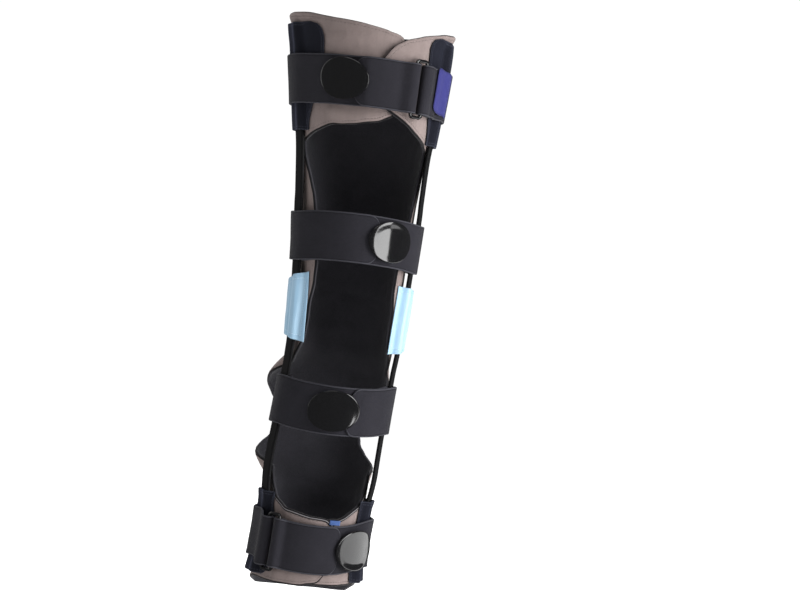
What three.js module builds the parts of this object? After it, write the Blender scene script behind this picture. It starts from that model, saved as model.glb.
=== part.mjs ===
import * as THREE from "three";

// An open-front knee immobilizer, worn shape, 60 cm long.
// Sizes are in millimetres and angles in degrees. The origin is the middle of the knee, +Z points
// up the thigh, -Y to the front and +X to the inner side of the leg. An angle is 0 at the front,
// grows towards the inner side and goes on round the back, so 180 is the middle of the back and
// an angle above 180 comes forward again on the outer side.

// The panel and the leg form that it is wrapped on
const braceLength = 600;
const thighWidth = 168;
const panelThickness = 4;
const clearance = 0.65;
const calfSwellOut = 28;
const calfSwellIn = 10;
const topFlareOut = 4;
const topFlareIn = 9;
const flareStartOut = 0.939;
const flareStartIn = 0.932;
const flareMiddle = 92;
const flareReach = 44;

// The two stays
const stayWidth = 25;
const stayThickness = 3.5;
const stayAngle = 76.5;
const stayTopInset = 20;
const stayBottomInset = 30;
const stayStep = 12;

// The soft pieces over the stays
const padThickness = 1.8;
const sleeveThickness = 1.2;
const humpSlack = 1;
const humpRun = 4.5;

// The four straps
const strapWidth = 50;
const strapThickness = 2.2;
const thighStrapDrop = 67;
const calfStrapRise = 69;
const upperKneeStrapHeight = 73;
const lowerKneeStrapHeight = -93;
const upperKneeStrapArch = 4.5;
const lowerKneeStrapArch = -5.6;
const calfStrapArch = -9.6;

// The strap ends and fastenings
const tabLength = 52;
const tabHeight = 42;
const tabThickness = 2.4;
const loopRod = 3.6;
const loopSlot = 10;
const loopSlack = 1.5;
const foldSlack = 1.2;
const passSlack = 0.4;
const labelWidth = 40;
const labelHeight = 45;
const labelThickness = 1;
const calfLabelWidth = 10.5;
const calfLabelHeight = 5;

const halfLength = braceLength / 2;
const formReach = thighWidth / 2;
const onPanel = panelThickness + clearance;
const onPad = onPanel + padThickness + clearance;
const wingStep = onPanel;
const strapHalf = strapThickness / 2;
const strapLayer = strapThickness + clearance;
const humpReach = stayWidth / 2 + humpSlack;
const innerStay = stayAngle;
const outerStay = 360 - stayAngle;
const raisedStay = onPanel + strapLayer + passSlack;

// Heights are shares of half the length. The reaches, and the middle's place along X, are shares of
// half the thigh width.
const LEG_FORM = [
  { height: -1.0, side: 0.65, middle: -0.16, front: 0.6, back: 0.62 },
  { height: -0.94, side: 0.615, middle: -0.155, front: 0.57, back: 0.615 },
  { height: -0.9, side: 0.585, middle: -0.15, front: 0.555, back: 0.62 },
  { height: -0.84, side: 0.562, middle: -0.142, front: 0.55, back: 0.635 },
  { height: -0.75, side: 0.557, middle: -0.13, front: 0.553, back: 0.66 },
  { height: -0.627, side: 0.567, middle: -0.11, front: 0.566, back: 0.7 },
  { height: -0.477, side: 0.57, middle: -0.086, front: 0.595, back: 0.762 },
  { height: -0.32, side: 0.56, middle: -0.051, front: 0.619, back: 0.762 },
  { height: -0.18, side: 0.558, middle: -0.024, front: 0.655, back: 0.714 },
  { height: -0.1, side: 0.568, middle: -0.01, front: 0.69, back: 0.7 },
  { height: 0.083, side: 0.594, middle: -0.011, front: 0.725, back: 0.69 },
  { height: 0.243, side: 0.625, middle: -0.019, front: 0.75, back: 0.75 },
  { height: 0.4, side: 0.668, middle: -0.038, front: 0.798, back: 0.821 },
  { height: 0.567, side: 0.738, middle: -0.062, front: 0.845, back: 0.905 },
  { height: 0.667, side: 0.782, middle: -0.075, front: 0.876, back: 0.952 },
  { height: 0.777, side: 0.826, middle: -0.09, front: 0.905, back: 1.002 },
  { height: 0.9, side: 0.877, middle: -0.114, front: 0.932, back: 1.056 },
  { height: 1.007, side: 0.925, middle: -0.149, front: 0.952, back: 1.095 },
];

// The stays stand off the panel where the knee straps pass behind them.
const STAY_LIFT = [
  { height: -0.9, raised: 0 },
  { height: -0.66, raised: 0 },
  { height: -0.55, raised: 1 },
  { height: -0.2, raised: 1 },
  { height: 0.1, raised: 1 },
  { height: 0.37, raised: 1 },
  { height: 0.583, raised: 0 },
  { height: 0.933, raised: 0 },
];

// The panel's outline: how far it reaches round from the middle of the back, in degrees.
// The wings of a cuff have an upper and a lower edge at each reach.
const THIGH_INNER_WING = [
  { reach: 0, top: 1.007, bottom: 0.533 },
  { reach: 88, top: 1.0, bottom: 0.533 },
  { reach: 106, top: 0.994, bottom: 0.565 },
  { reach: 122, top: 0.984, bottom: 0.605 },
  { reach: 145, top: 0.958, bottom: 0.638 },
  { reach: 160, top: 0.932, bottom: 0.672 },
  { reach: 170, top: 0.9, bottom: 0.695 },
  { reach: 177, top: 0.85, bottom: 0.722 },
  { reach: 181, top: 0.81, bottom: 0.765 },
];
const THIGH_OUTER_WING = [
  { reach: 0, top: 1.007, bottom: 0.533 },
  { reach: 88, top: 1.007, bottom: 0.533 },
  { reach: 106, top: 1.005, bottom: 0.57 },
  { reach: 127, top: 0.998, bottom: 0.603 },
  { reach: 148, top: 0.983, bottom: 0.63 },
  { reach: 170, top: 0.972, bottom: 0.637 },
  { reach: 188, top: 0.958, bottom: 0.653 },
  { reach: 200, top: 0.94, bottom: 0.68 },
  { reach: 208, top: 0.88, bottom: 0.72 },
  { reach: 212, top: 0.81, bottom: 0.76 },
];
const CALF_INNER_WING = [
  { reach: 0, top: -0.55, bottom: -0.983 },
  { reach: 60, top: -0.55, bottom: -0.967 },
  { reach: 94, top: -0.553, bottom: -0.927 },
  { reach: 104, top: -0.58, bottom: -0.922 },
  { reach: 114, top: -0.617, bottom: -0.92 },
  { reach: 126, top: -0.652, bottom: -0.922 },
  { reach: 154, top: -0.695, bottom: -0.925 },
  { reach: 180, top: -0.705, bottom: -0.923 },
  { reach: 200, top: -0.72, bottom: -0.905 },
  { reach: 211, top: -0.75, bottom: -0.86 },
  { reach: 215, top: -0.78, bottom: -0.82 },
];
const CALF_OUTER_WING = [
  { reach: 0, top: -0.55, bottom: -0.983 },
  { reach: 60, top: -0.55, bottom: -0.969 },
  { reach: 94, top: -0.553, bottom: -0.937 },
  { reach: 104, top: -0.582, bottom: -0.931 },
  { reach: 114, top: -0.617, bottom: -0.93 },
  { reach: 126, top: -0.647, bottom: -0.93 },
  { reach: 148, top: -0.675, bottom: -0.93 },
  { reach: 174, top: -0.69, bottom: -0.928 },
  { reach: 192, top: -0.697, bottom: -0.91 },
  { reach: 201, top: -0.72, bottom: -0.868 },
  { reach: 205, top: -0.757, bottom: -0.82 },
];
const PANEL_SIDE = [
  { height: 0.467, inner: 109, outer: 116 },
  { height: 0.4, inner: 113, outer: 123 },
  { height: 0.32, inner: 118, outer: 128 },
  { height: 0.243, inner: 123, outer: 129 },
  { height: 0.167, inner: 129, outer: 132 },
  { height: 0.1, inner: 130, outer: 131 },
  { height: 0.035, inner: 126, outer: 126 },
  { height: -0.03, inner: 125, outer: 125 },
  { height: -0.09, inner: 124, outer: 122 },
  { height: -0.13, inner: 116, outer: 113 },
  { height: -0.155, inner: 105, outer: 105 },
  { height: -0.175, inner: 96, outer: 96 },
  { height: -0.21, inner: 84, outer: 84 },
  { height: -0.25, inner: 69, outer: 70 },
  { height: -0.29, inner: 56, outer: 57 },
  { height: -0.33, inner: 46, outer: 47 },
  { height: -0.37, inner: 39, outer: 40 },
  { height: -0.42, inner: 38, outer: 38 },
  { height: -0.46, inner: 42, outer: 44 },
  { height: -0.49, inner: 53, outer: 57 },
  { height: -0.515, inner: 68, outer: 72 },
  { height: -0.535, inner: 82, outer: 84 },
];
// The calf swells the panel between these shares of half the length and degrees from the back.
const calfMiddle = -0.373;
const calfReach = 0.25;
const calfSpread = 60;
const calfFade = 32;
const thighJoinReach = 106;
const calfJoinReach = 94;
const panelColumn = 9;
const thighCuffRows = 7;
const calfCuffRows = 6;

// The wing that lies on top rises between these reaches, before the other wing's tip.
const wingRiseStart = 117;
const wingRiseEnd = 144;

// The pads: half their spread on either side of the stay.
const THIGH_PAD = [
  { height: 0.605, spread: 14 },
  { height: 0.615, spread: 16 },
  { height: 0.65, spread: 18 },
  { height: 0.72, spread: 25 },
  { height: 0.79, spread: 32 },
  { height: 0.86, spread: 35 },
  { height: 0.925, spread: 35 },
  { height: 0.947, spread: 33 },
  { height: 0.96, spread: 29 },
  { height: 0.967, spread: 23 },
];
const CALF_PAD = [
  { height: -0.913, spread: 22 },
  { height: -0.905, spread: 27 },
  { height: -0.89, spread: 31 },
  { height: -0.86, spread: 32 },
  { height: -0.8, spread: 32 },
  { height: -0.75, spread: 32 },
  { height: -0.71, spread: 28 },
  { height: -0.68, spread: 22 },
  { height: -0.65, spread: 17 },
  { height: -0.632, spread: 16 },
];
const INNER_CALF_PAD = [
  { height: -0.913, spread: 18 },
  { height: -0.905, spread: 20 },
  { height: -0.89, spread: 22 },
  { height: -0.86, spread: 24 },
  { height: -0.8, spread: 24 },
  { height: -0.75, spread: 23 },
  { height: -0.71, spread: 21 },
  { height: -0.68, spread: 19 },
  { height: -0.65, spread: 17 },
  { height: -0.632, spread: 16 },
];

// The knee sleeves: half the height of their front and rear edges above and below the knee.
const sleeveSpread = 21;
const OUTER_SLEEVE = { frontTop: 38.7, frontBottom: -33.8, rearTop: 25.4, rearBottom: -25.7 };
const INNER_SLEEVE = { frontTop: 35, frontBottom: -36, rearTop: 31.3, rearBottom: -30 };

// Where the closures sit. A twin at the calf is the thigh's, mirrored left to right.
// The folded strap ends `tailBack` degrees behind the ring, and the tab's middle lies `tabPast`
// degrees past that end.
// `sewn` and `landing` lead the webbing from the loop down to the stay, in degrees from the loop
// and in millimetres above the strap on the upper wing.
const thighClosure = {
  wingTip: 356,
  ring: 391,
  tailBack: 47,
  tabPast: 7,
  sewn: [{ turn: 18, above: 0.8 }, { turn: 10, above: 1.5 }],
  landing: [{ turn: 14, above: 4.1 }, { turn: 19, above: 3.7 }, { turn: 25, above: 0.2 }],
};
const calfClosure = {
  wingTip: 336,
  ring: 402,
  tailBack: 69,
  tabPast: 18,
  sewn: [{ turn: 10, above: 0.8 }],
  landing: [],
};
const upperKneeClosure = { tail: 19, tabPast: 11 };
const lowerKneeClosure = { tail: -11.5, tabPast: 14.5 };

function lerp(from, to, share) {
  return from + (to - from) * share;
}

function share01(value, from, to) {
  return THREE.MathUtils.clamp((value - from) / (to - from), 0, 1);
}

// A smooth curve through a table's rows, read at one rising column and giving another.
function readCurve(table, column, at, wanted) {
  const last = table.length - 1;
  const value = THREE.MathUtils.clamp(at, table[0][column], table[last][column]);
  let low = 0;
  while (low < last - 1 && value > table[low + 1][column]) {
    low += 1;
  }
  const slope = (row) => {
    const before = table[Math.max(row - 1, 0)];
    const after = table[Math.min(row + 1, last)];
    return (after[wanted] - before[wanted]) / (after[column] - before[column]);
  };
  const span = table[low + 1][column] - table[low][column];
  const t = (value - table[low][column]) / span;
  const rise = table[low + 1][wanted] - table[low][wanted];
  const bend = (t - 1) * (slope(low) * span - rise) - t * (slope(low + 1) * span - rise);
  return table[low][wanted] + t * rise - t * (t - 1) * bend;
}

// The leg form's ellipse at a height: its middle and its half width and half depth.
function legSection(height) {
  const at = height / halfLength;
  const front = readCurve(LEG_FORM, "height", at, "front") * formReach;
  const back = readCurve(LEG_FORM, "height", at, "back") * formReach;
  return {
    x: readCurve(LEG_FORM, "height", at, "middle") * formReach,
    y: (back - front) / 2,
    side: readCurve(LEG_FORM, "height", at, "side") * formReach,
    deep: (back + front) / 2,
  };
}

// The point at an angle and a height, `lift` out from the form and then `across` along its tangent.
function onLeg(angle, height, lift, across = 0) {
  const { x, y, side, deep } = legSection(height);
  const turn = THREE.MathUtils.degToRad(angle);
  const out = new THREE.Vector2(deep * Math.sin(turn), -side * Math.cos(turn)).normalize();
  return new THREE.Vector3(
    x + side * Math.sin(turn) + lift * out.x - across * out.y,
    y - deep * Math.cos(turn) + lift * out.y + across * out.x,
    height,
  );
}

// How many degrees an arc of `length` takes near an angle, on a surface `lift` above the form.
function turnOf(length, angle, height, lift = onPanel) {
  const { side, deep } = legSection(height);
  const turn = THREE.MathUtils.degToRad(angle);
  const radius = Math.hypot(side * Math.cos(turn), deep * Math.sin(turn)) + lift;
  return THREE.MathUtils.radToDeg(length / radius);
}

function bell(value, middle, reach) {
  const away = Math.min(Math.abs(value - middle) / reach, 1);
  return (1 - away ** 4) ** 2;
}

// How far round to the front an angle is: 1 at the front and 0 from the sides on.
function frontShare(angle) {
  return Math.max(0, Math.cos(THREE.MathUtils.degToRad(angle)));
}

// How far the panel stands off the leg form: the upper wing over the lower one, the top corners
// that flare out over the stays, and the calf.
function panelLift(angle, height) {
  const at = height / halfLength;
  const reach = Math.abs(180 - angle);
  const inner = angle < 180;
  const upperWing = at > 0 ? inner : !inner;
  const cuff = Math.abs(at) > 0.5 && upperWing;
  const rise = cuff ? wingStep * share01(reach, wingRiseStart, wingRiseEnd) : 0;
  const top = share01(at, inner ? flareStartIn : flareStartOut, 1) * bell(reach, flareMiddle, flareReach);
  const flare = top * (inner ? topFlareIn : topFlareOut);
  const calf = bell(at, calfMiddle, calfReach) * bell(Math.max(reach, calfSpread), calfSpread, calfFade);
  const swell = lerp(calfSwellIn, calfSwellOut, THREE.MathUtils.smoothstep(angle - 180, -60, 60));
  return rise + flare + calf * swell;
}

function stayLift(height) {
  const raised = readCurve(STAY_LIFT, "height", height / halfLength, "raised");
  return lerp(onPanel, raisedStay, raised);
}

// Closes a sheet: the outer and inner points share one net of triangles, and walls join the
// edges that only one triangle uses.
function sheetSolid(outer, inner, net) {
  const count = outer.length;
  const free = new Map();
  for (const [a, b, c] of net) {
    for (const [from, to] of [[a, b], [b, c], [c, a]]) {
      if (!free.delete(`${to},${from}`)) {
        free.set(`${from},${to}`, [from, to]);
      }
    }
  }
  const faces = net.flatMap(([a, b, c]) => [a, b, c, count + c, count + b, count + a]);
  for (const [from, to] of free.values()) {
    faces.push(from, count + from, count + to, from, count + to, to);
  }
  const points = [...outer, ...inner];
  const crossed = new THREE.Vector3();
  let volume = 0;
  for (let i = 0; i < faces.length; i += 3) {
    crossed.crossVectors(points[faces[i + 1]], points[faces[i + 2]]);
    volume += points[faces[i]].dot(crossed);
  }
  if (volume < 0) {
    faces.reverse();
  }
  const indexed = new THREE.BufferGeometry().setFromPoints(points);
  indexed.setIndex(faces);
  const geometry = indexed.toNonIndexed();
  geometry.computeVertexNormals();
  return geometry;
}

// The net of a grid of points, row after row.
function gridNet(columns, rows) {
  const net = [];
  for (let row = 0; row < rows - 1; row += 1) {
    for (let column = 0; column < columns - 1; column += 1) {
      const a = row * columns + column;
      const b = a + columns;
      net.push([a, a + 1, b + 1], [a, b + 1, b]);
    }
  }
  return net;
}

// A band of even thickness. Each row is a line of stations round the leg, at its middle layer,
// and `heightOf(station, row)` gives their heights.
function band(lines, thickness, heightOf) {
  const outer = [];
  const inner = [];
  lines.forEach((stations, row) => {
    const middle = stations.map((station) => {
      return onLeg(station.angle, heightOf(station, row), station.lift, station.across);
    });
    const across = middle.slice(1).map((point, i) => {
      const step = new THREE.Vector2(point.x - middle[i].x, point.y - middle[i].y).normalize();
      return new THREE.Vector2(step.y, -step.x);
    });
    middle.forEach((point, i) => {
      const before = across[Math.max(i - 1, 0)];
      const after = across[Math.min(i, across.length - 1)];
      const out = before.clone().add(after).normalize();
      const half = thickness / 2 / Math.max(out.dot(after), 0.7);
      outer.push(new THREE.Vector3(point.x + out.x * half, point.y + out.y * half, point.z));
      inner.push(new THREE.Vector3(point.x - out.x * half, point.y - out.y * half, point.z));
    });
  });
  return sheetSolid(outer, inner, gridNet(lines[0].length, lines.length));
}

function meshOf(name, geometry, finish) {
  const mesh = new THREE.Mesh(geometry, new THREE.MeshStandardMaterial(finish));
  mesh.name = name;
  return mesh;
}

// Joins two rows of the panel's outline with triangles, the lower row first.
function joinRows(lower, upper, angles) {
  const net = [];
  let a = 0;
  let b = 0;
  while (a < lower.length - 1 || b < upper.length - 1) {
    const lowerNext = a < lower.length - 1 ? angles[lower[a + 1]] : Infinity;
    const upperNext = b < upper.length - 1 ? angles[upper[b + 1]] : Infinity;
    if (lowerNext <= upperNext) {
      net.push([lower[a], lower[a + 1], upper[b]]);
      a += 1;
    } else {
      net.push([lower[a], upper[b + 1], upper[b]]);
      b += 1;
    }
  }
  return net;
}

// The panel's columns from the inner wing's end to the outer wing's, as signed reaches from the back.
function panelColumns(innerEnd, outerEnd, corner) {
  const kept = [-innerEnd, outerEnd, ...(corner ? [-corner, corner] : [])];
  const even = [];
  for (let reach = -360; reach <= 360; reach += panelColumn) {
    const inside = reach > -innerEnd && reach < outerEnd;
    if (inside && kept.every((fixed) => Math.abs(fixed - reach) > panelColumn / 3)) {
      even.push(reach);
    }
  }
  return [...kept, ...even].sort((a, b) => a - b);
}

function wrapPanel() {
  const spots = [];
  const addRow = (columns, heightOf) => columns.map((reach) => {
    spots.push({ angle: 180 + reach, height: heightOf(reach) * halfLength });
    return spots.length - 1;
  });
  const cuffRows = (inner, outer, corner, count) => {
    const columns = panelColumns(inner.at(-1).reach, outer.at(-1).reach, corner);
    const edge = (reach, wanted) => {
      return readCurve(reach < 0 ? inner : outer, "reach", Math.abs(reach), wanted);
    };
    return Array.from({ length: count + 1 }, (_, row) => {
      return addRow(columns, (reach) => lerp(edge(reach, "bottom"), edge(reach, "top"), row / count));
    });
  };
  const within = (row, reach) => {
    return row.filter((spot) => Math.abs(spots[spot].angle - 180) <= reach);
  };
  const thigh = cuffRows(THIGH_INNER_WING, THIGH_OUTER_WING, thighJoinReach, thighCuffRows);
  const calf = cuffRows(CALF_INNER_WING, CALF_OUTER_WING, calfJoinReach, calfCuffRows);
  const side = PANEL_SIDE.map(({ height, inner, outer }) => {
    return addRow(panelColumns(inner, outer), () => height);
  });
  const between = [within(thigh[0], thighJoinReach), ...side, within(calf.at(-1), calfJoinReach)];
  const angles = spots.map(({ angle }) => angle);
  const net = [];
  for (const rows of [[...thigh].reverse(), between, [...calf].reverse()]) {
    rows.slice(1).forEach((lower, i) => net.push(...joinRows(lower, rows[i], angles)));
  }
  const layer = (thickness) => spots.map(({ angle, height }) => {
    return onLeg(angle, height, panelLift(angle, height) + thickness);
  });
  return meshOf("wrap_panel", sheetSolid(layer(panelThickness), layer(0), net), {
    color: 0xa89d9a,
    roughness: 0.95,
    metalness: 0,
  });
}

function stay(name, angle) {
  const bottom = -halfLength + stayBottomInset;
  const top = halfLength - stayTopInset;
  const steps = Math.round((top - bottom) / stayStep);
  const heights = Array.from({ length: steps + 1 }, (_, step) => lerp(bottom, top, step / steps));
  const lines = heights.map((height) => [-0.5, 0.5].map((side) => {
    return { angle, across: side * stayWidth, lift: stayLift(height) + stayThickness / 2 };
  }));
  return meshOf(name, band(lines, stayThickness, (_, row) => heights[row]), {
    color: 0x0c0c0e,
    roughness: 0.55,
    metalness: 0.1,
  });
}

// One line of a cloth that lies on the panel and rises over a stay, `spread` degrees to each side.
function overStay(angle, height, spread, thickness, over) {
  const top = stayLift(height) + stayThickness + clearance + thickness / 2;
  const foot = turnOf(humpReach + over, angle, height);
  const edge = Math.max(spread, foot + 3);
  const flat = (turn) => ({
    angle: angle + turn,
    lift: panelLift(angle + turn, height) + onPanel + thickness / 2,
  });
  const corner = (side) => ({ angle, across: side * humpReach, lift: top });
  const out = [0, 0.33, 0.67, 1].map((share) => lerp(foot, edge, share));
  return [
    ...out.map((turn) => flat(-turn)).reverse(),
    corner(-1),
    corner(1),
    ...out.map(flat),
  ];
}

function pad(name, angle, table) {
  const heights = table.map(({ height }) => height * halfLength);
  const lines = table.map(({ spread }, row) => {
    return overStay(angle, heights[row], spread, padThickness, humpRun);
  });
  return meshOf(name, band(lines, padThickness, (_, row) => heights[row]), {
    color: 0x1d1f27,
    roughness: 0.95,
    metalness: 0,
  });
}

function kneeSleeve(name, angle, edges) {
  const front = angle < 180 ? -1 : 1;
  const rows = [0, 0.33, 0.67, 1];
  const heightOf = ({ angle: at, across = 0 }, row) => {
    const turned = at === angle ? across / (2 * humpReach) * 0.6 : (at - angle) / (2 * sleeveSpread);
    const forward = THREE.MathUtils.clamp(0.5 + turned * front, 0, 1);
    const top = lerp(edges.rearTop, edges.frontTop, forward);
    const bottom = lerp(edges.rearBottom, edges.frontBottom, forward);
    return lerp(bottom, top, rows[row]);
  };
  const middle = lerp(edges.frontBottom, edges.frontTop, 0.5);
  const lines = rows.map(() => overStay(angle, middle, sleeveSpread, sleeveThickness, humpRun));
  return meshOf(name, band(lines, sleeveThickness, heightOf), {
    color: 0xa9cde0,
    roughness: 0.45,
    metalness: 0,
  });
}

// Half a turn of a strap round a rod or a stay edge, from below it to above it.
function foldRound(angle, across, lift, radius, side) {
  return [-90, -54, -18, 18, 54, 90].map((degrees) => {
    const turn = THREE.MathUtils.degToRad(degrees);
    return {
      angle,
      across: across + side * radius * Math.cos(turn),
      lift: lift + radius * Math.sin(turn),
    };
  });
}

// A strap's rounded end: the last stations, narrowed along a half oval.
function roundedTail(from, to) {
  const steps = [0, 0.45, 0.8, 1];
  const length = 0.97;
  return steps.map((step) => ({
    angle: lerp(from.angle, to.angle, step),
    lift: lerp(from.lift, to.lift, step),
    narrow: Math.sqrt(1 - (step * length) ** 2),
  }));
}

function ribbon(name, stations, height, arch, colour) {
  const rows = [-0.5, 0, 0.5];
  const heightOf = ({ angle, narrow = 1 }, row) => {
    return height + arch * frontShare(angle) + rows[row] * strapWidth * narrow;
  };
  const lines = rows.map(() => stations);
  return meshOf(name, band(lines, strapThickness, heightOf), colour);
}

const strapFinish = { color: 0x3c3c42, roughness: 0.85, metalness: 0 };
const plasticFinish = { color: 0x101012, roughness: 0.18, metalness: 0 };

function mirror(stations) {
  return stations.map((station) => ({
    ...station,
    angle: -station.angle,
    across: station.across ? -station.across : 0,
  }));
}

// Where the cuff straps and the webbing start and end, and how far the pads reach at them.
const strapStart = 117;
const webbingEnd = 111;
const padEdge = 32;

// A knee strap's lifts at the middle layer: first under the stay, then folded back over itself.
const KNEE_STRAP_FIRST = [
  { angle: 45, lift: 7.6 },
  { angle: 30, lift: 4.6 },
  { angle: 15, lift: 3.6 },
  { angle: 0, lift: 3.2 },
  { angle: -15, lift: 3.4 },
  { angle: -30, lift: 4.1 },
  { angle: -45, lift: 5.9 },
];
const KNEE_STRAP_BACK = [
  { angle: -45, lift: 9.2 },
  { angle: -30, lift: 7.1 },
  { angle: -15, lift: 6.2 },
  { angle: 0, lift: 5.9 },
];
const kneeTailLift = 6.6;

// The heights at which a cuff strap's layers run, above the leg form.
const layerOn = onPanel + strapHalf;
const layerOnPad = onPad + strapHalf;
const layerOnWing = onPanel + wingStep + strapHalf;
const layerOverStay = onPad + stayThickness + clearance + strapHalf;
const foldRadius = loopRod / 2 + strapHalf + foldSlack;
const loopMiddle = layerOnWing + foldRadius + 1;
const barAcross = (loopSlot + loopRod) / 2;
const humpWide = humpReach + padThickness;

// Stations at even steps from one angle to another, from one lift to another.
function course(from, to, lift, endLift = lift) {
  const count = Math.max(Math.round(Math.abs(to - from) / panelColumn), 1);
  return Array.from({ length: count + 1 }, (_, step) => ({
    angle: lerp(from, to, step / count),
    lift: lerp(lift, endLift, step / count),
  }));
}

// A cuff strap: it starts behind one stay, goes round the back and the other side, through the
// loop at the front, and folds back over itself.
function cuffStrapStations({ wingTip, ring, tailBack }) {
  const tail = ring - tailBack;
  const padRear = outerStay - padEdge;
  const padFront = outerStay + padEdge;
  const wingFoot = wingTip - 14;
  const onStep = (angle) => lerp(layerOn, layerOnWing, share01(angle, wingFoot, wingTip - 2));
  const back = (angle, extra = 0) => ({ angle, lift: onStep(angle) + strapLayer + extra });
  const padToWing = wingFoot > padFront + 8 ? course(padFront + 6, wingFoot, layerOnPad, layerOn) : [];
  return [
    ...course(strapStart, padRear - 17.5, layerOn),
    ...course(padRear - 5, padRear + 5, layerOnPad),
    { angle: outerStay, across: -humpWide, lift: layerOverStay },
    { angle: outerStay, across: humpWide, lift: layerOverStay },
    ...course(padFront - 4, padFront + 3, layerOnPad),
    ...padToWing,
    ...course(wingTip - 2, ring - 12, layerOnWing),
    ...foldRound(ring, -barAcross, loopMiddle, foldRadius, 1),
    { angle: ring, across: -barAcross - loopRod, lift: loopMiddle + foldRadius - 0.4 },
    back(ring - 13, 0.6),
    back(ring - 20),
    ...course(ring - 29, Math.max(wingTip - 2, tail + 14), layerOnWing + strapLayer),
    ...roundedTail(back(tail + 10), back(tail)),
  ];
}

// The webbing that holds the loop: sewn down short below, and over the stay above.
function webbingStations({ ring, sewn, landing }) {
  const at = ring - 360;
  const spot = ({ turn, above }) => ({ angle: at + turn, lift: layerOnWing + above });
  return [
    ...sewn.map(spot),
    ...foldRound(at, barAcross, loopMiddle, foldRadius, -1),
    { angle: at, across: barAcross + loopRod, lift: loopMiddle + foldRadius - 0.4 },
    ...landing.map(spot),
    { angle: innerStay, across: -humpWide, lift: layerOverStay },
    { angle: innerStay, across: humpWide, lift: layerOverStay },
    { angle: webbingEnd - 7, lift: layerOnPad },
    { angle: webbingEnd, lift: layerOnPad },
  ];
}

// A knee strap: its end is sewn round one stay, it passes behind the other and folds back.
function kneeStrapStations(tail) {
  const under = onPanel + strapHalf;
  const over = raisedStay + stayThickness + clearance + strapHalf;
  const middle = (under + over) / 2;
  const radius = (over - under) / 2;
  const edge = stayWidth / 2 + strapThickness * 0.7;
  return [
    { angle: stayAngle, across: -stayWidth * 0.66, lift: under + 0.1 },
    { angle: stayAngle, across: 0, lift: under + 0.1 },
    ...foldRound(stayAngle, edge, middle, radius, 1),
    { angle: stayAngle, across: -edge, lift: over },
    ...KNEE_STRAP_FIRST,
    { angle: -stayAngle, across: stayWidth / 2 + 4, lift: under + 0.2 },
    ...foldRound(-stayAngle, -edge, middle, radius, -1),
    { angle: -stayAngle, across: edge, lift: over },
    ...KNEE_STRAP_BACK.filter(({ angle }) => angle < tail - 15),
    ...roundedTail({ angle: tail - 12, lift: kneeTailLift - 0.4 }, { angle: tail, lift: kneeTailLift }),
  ];
}

// A smooth oval tab bent round the leg, from one lift at its start to another at its end.
function tab(name, angle, height, startLift, endLift) {
  const around = 20;
  const rings = [
    { out: 0.45, dome: 1 },
    { out: 0.82, dome: 0.9 },
    { out: 1, dome: 0.45 },
  ];
  const spot = (across, up, dome) => {
    const lift = lerp(startLift, endLift, 0.5 + across / tabLength) + tabThickness * dome;
    return onLeg(angle + turnOf(across, angle, height, startLift), height + up, lift);
  };
  const oval = (value) => Math.sign(value) * Math.abs(value) ** 0.88;
  const layer = (domed) => [
    spot(0, 0, domed ? 1 : 0),
    ...rings.flatMap(({ out, dome }) => Array.from({ length: around }, (_, step) => {
      const turn = (2 * Math.PI * step) / around;
      const across = oval(Math.cos(turn)) * out * tabLength / 2;
      return spot(across, oval(Math.sin(turn)) * out * tabHeight / 2, domed ? dome : 0);
    })),
  ];
  const net = [];
  for (let step = 0; step < around; step += 1) {
    const next = (step + 1) % around;
    net.push([0, 1 + step, 1 + next]);
    for (let ring = 1; ring < rings.length; ring += 1) {
      const low = 1 + (ring - 1) * around;
      const high = low + around;
      net.push([low + step, high + step, high + next], [low + step, high + next, low + next]);
    }
  }
  return meshOf(name, sheetSolid(layer(true), layer(false), net), plasticFinish);
}

function roundedOutline(path, width, height, radius) {
  const x = width / 2 - radius;
  const y = height / 2 - radius;
  path.absarc(x, y, radius, 0, Math.PI / 2);
  path.absarc(-x, y, radius, Math.PI / 2, Math.PI);
  path.absarc(-x, -y, radius, Math.PI, 1.5 * Math.PI);
  path.absarc(x, -y, radius, 1.5 * Math.PI, 2 * Math.PI);
  return path;
}

// The flat plastic loop that a cuff strap passes through, square to the leg at its place.
function loop(name, angle, heightAt) {
  const slotHeight = strapWidth + 2 * loopSlack;
  const bevel = loopRod / 5;
  const outline = roundedOutline(
    new THREE.Shape(),
    loopSlot + 2 * loopRod,
    slotHeight + 2 * loopRod,
    loopRod,
  );
  outline.holes.push(roundedOutline(new THREE.Path(), loopSlot, slotHeight, loopRod / 3));
  const geometry = new THREE.ExtrudeGeometry(outline, {
    depth: loopRod - 2 * bevel,
    bevelThickness: bevel,
    bevelSize: bevel,
    bevelOffset: -bevel,
    bevelSegments: 1,
    curveSegments: 3,
  });
  geometry.translate(0, 0, bevel - loopRod / 2);
  const mesh = meshOf(name, geometry, plasticFinish);
  const height = heightAt(angle);
  const ends = [-1, 1].map((side) => onLeg(angle, heightAt(angle + side * 4), loopMiddle, side * 4));
  const along = ends[1].sub(ends[0]).normalize();
  const tops = [-1, 1].map((side) => onLeg(angle, height + side * strapWidth / 2, loopMiddle));
  const up = tops[1].sub(tops[0]);
  up.normalize();
  along.addScaledVector(up, -along.dot(up)).normalize();
  const out = new THREE.Vector3().crossVectors(along, up);
  mesh.position.copy(onLeg(angle, height, loopMiddle));
  mesh.quaternion.setFromRotationMatrix(new THREE.Matrix4().makeBasis(along, up, out));
  return mesh;
}

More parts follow.
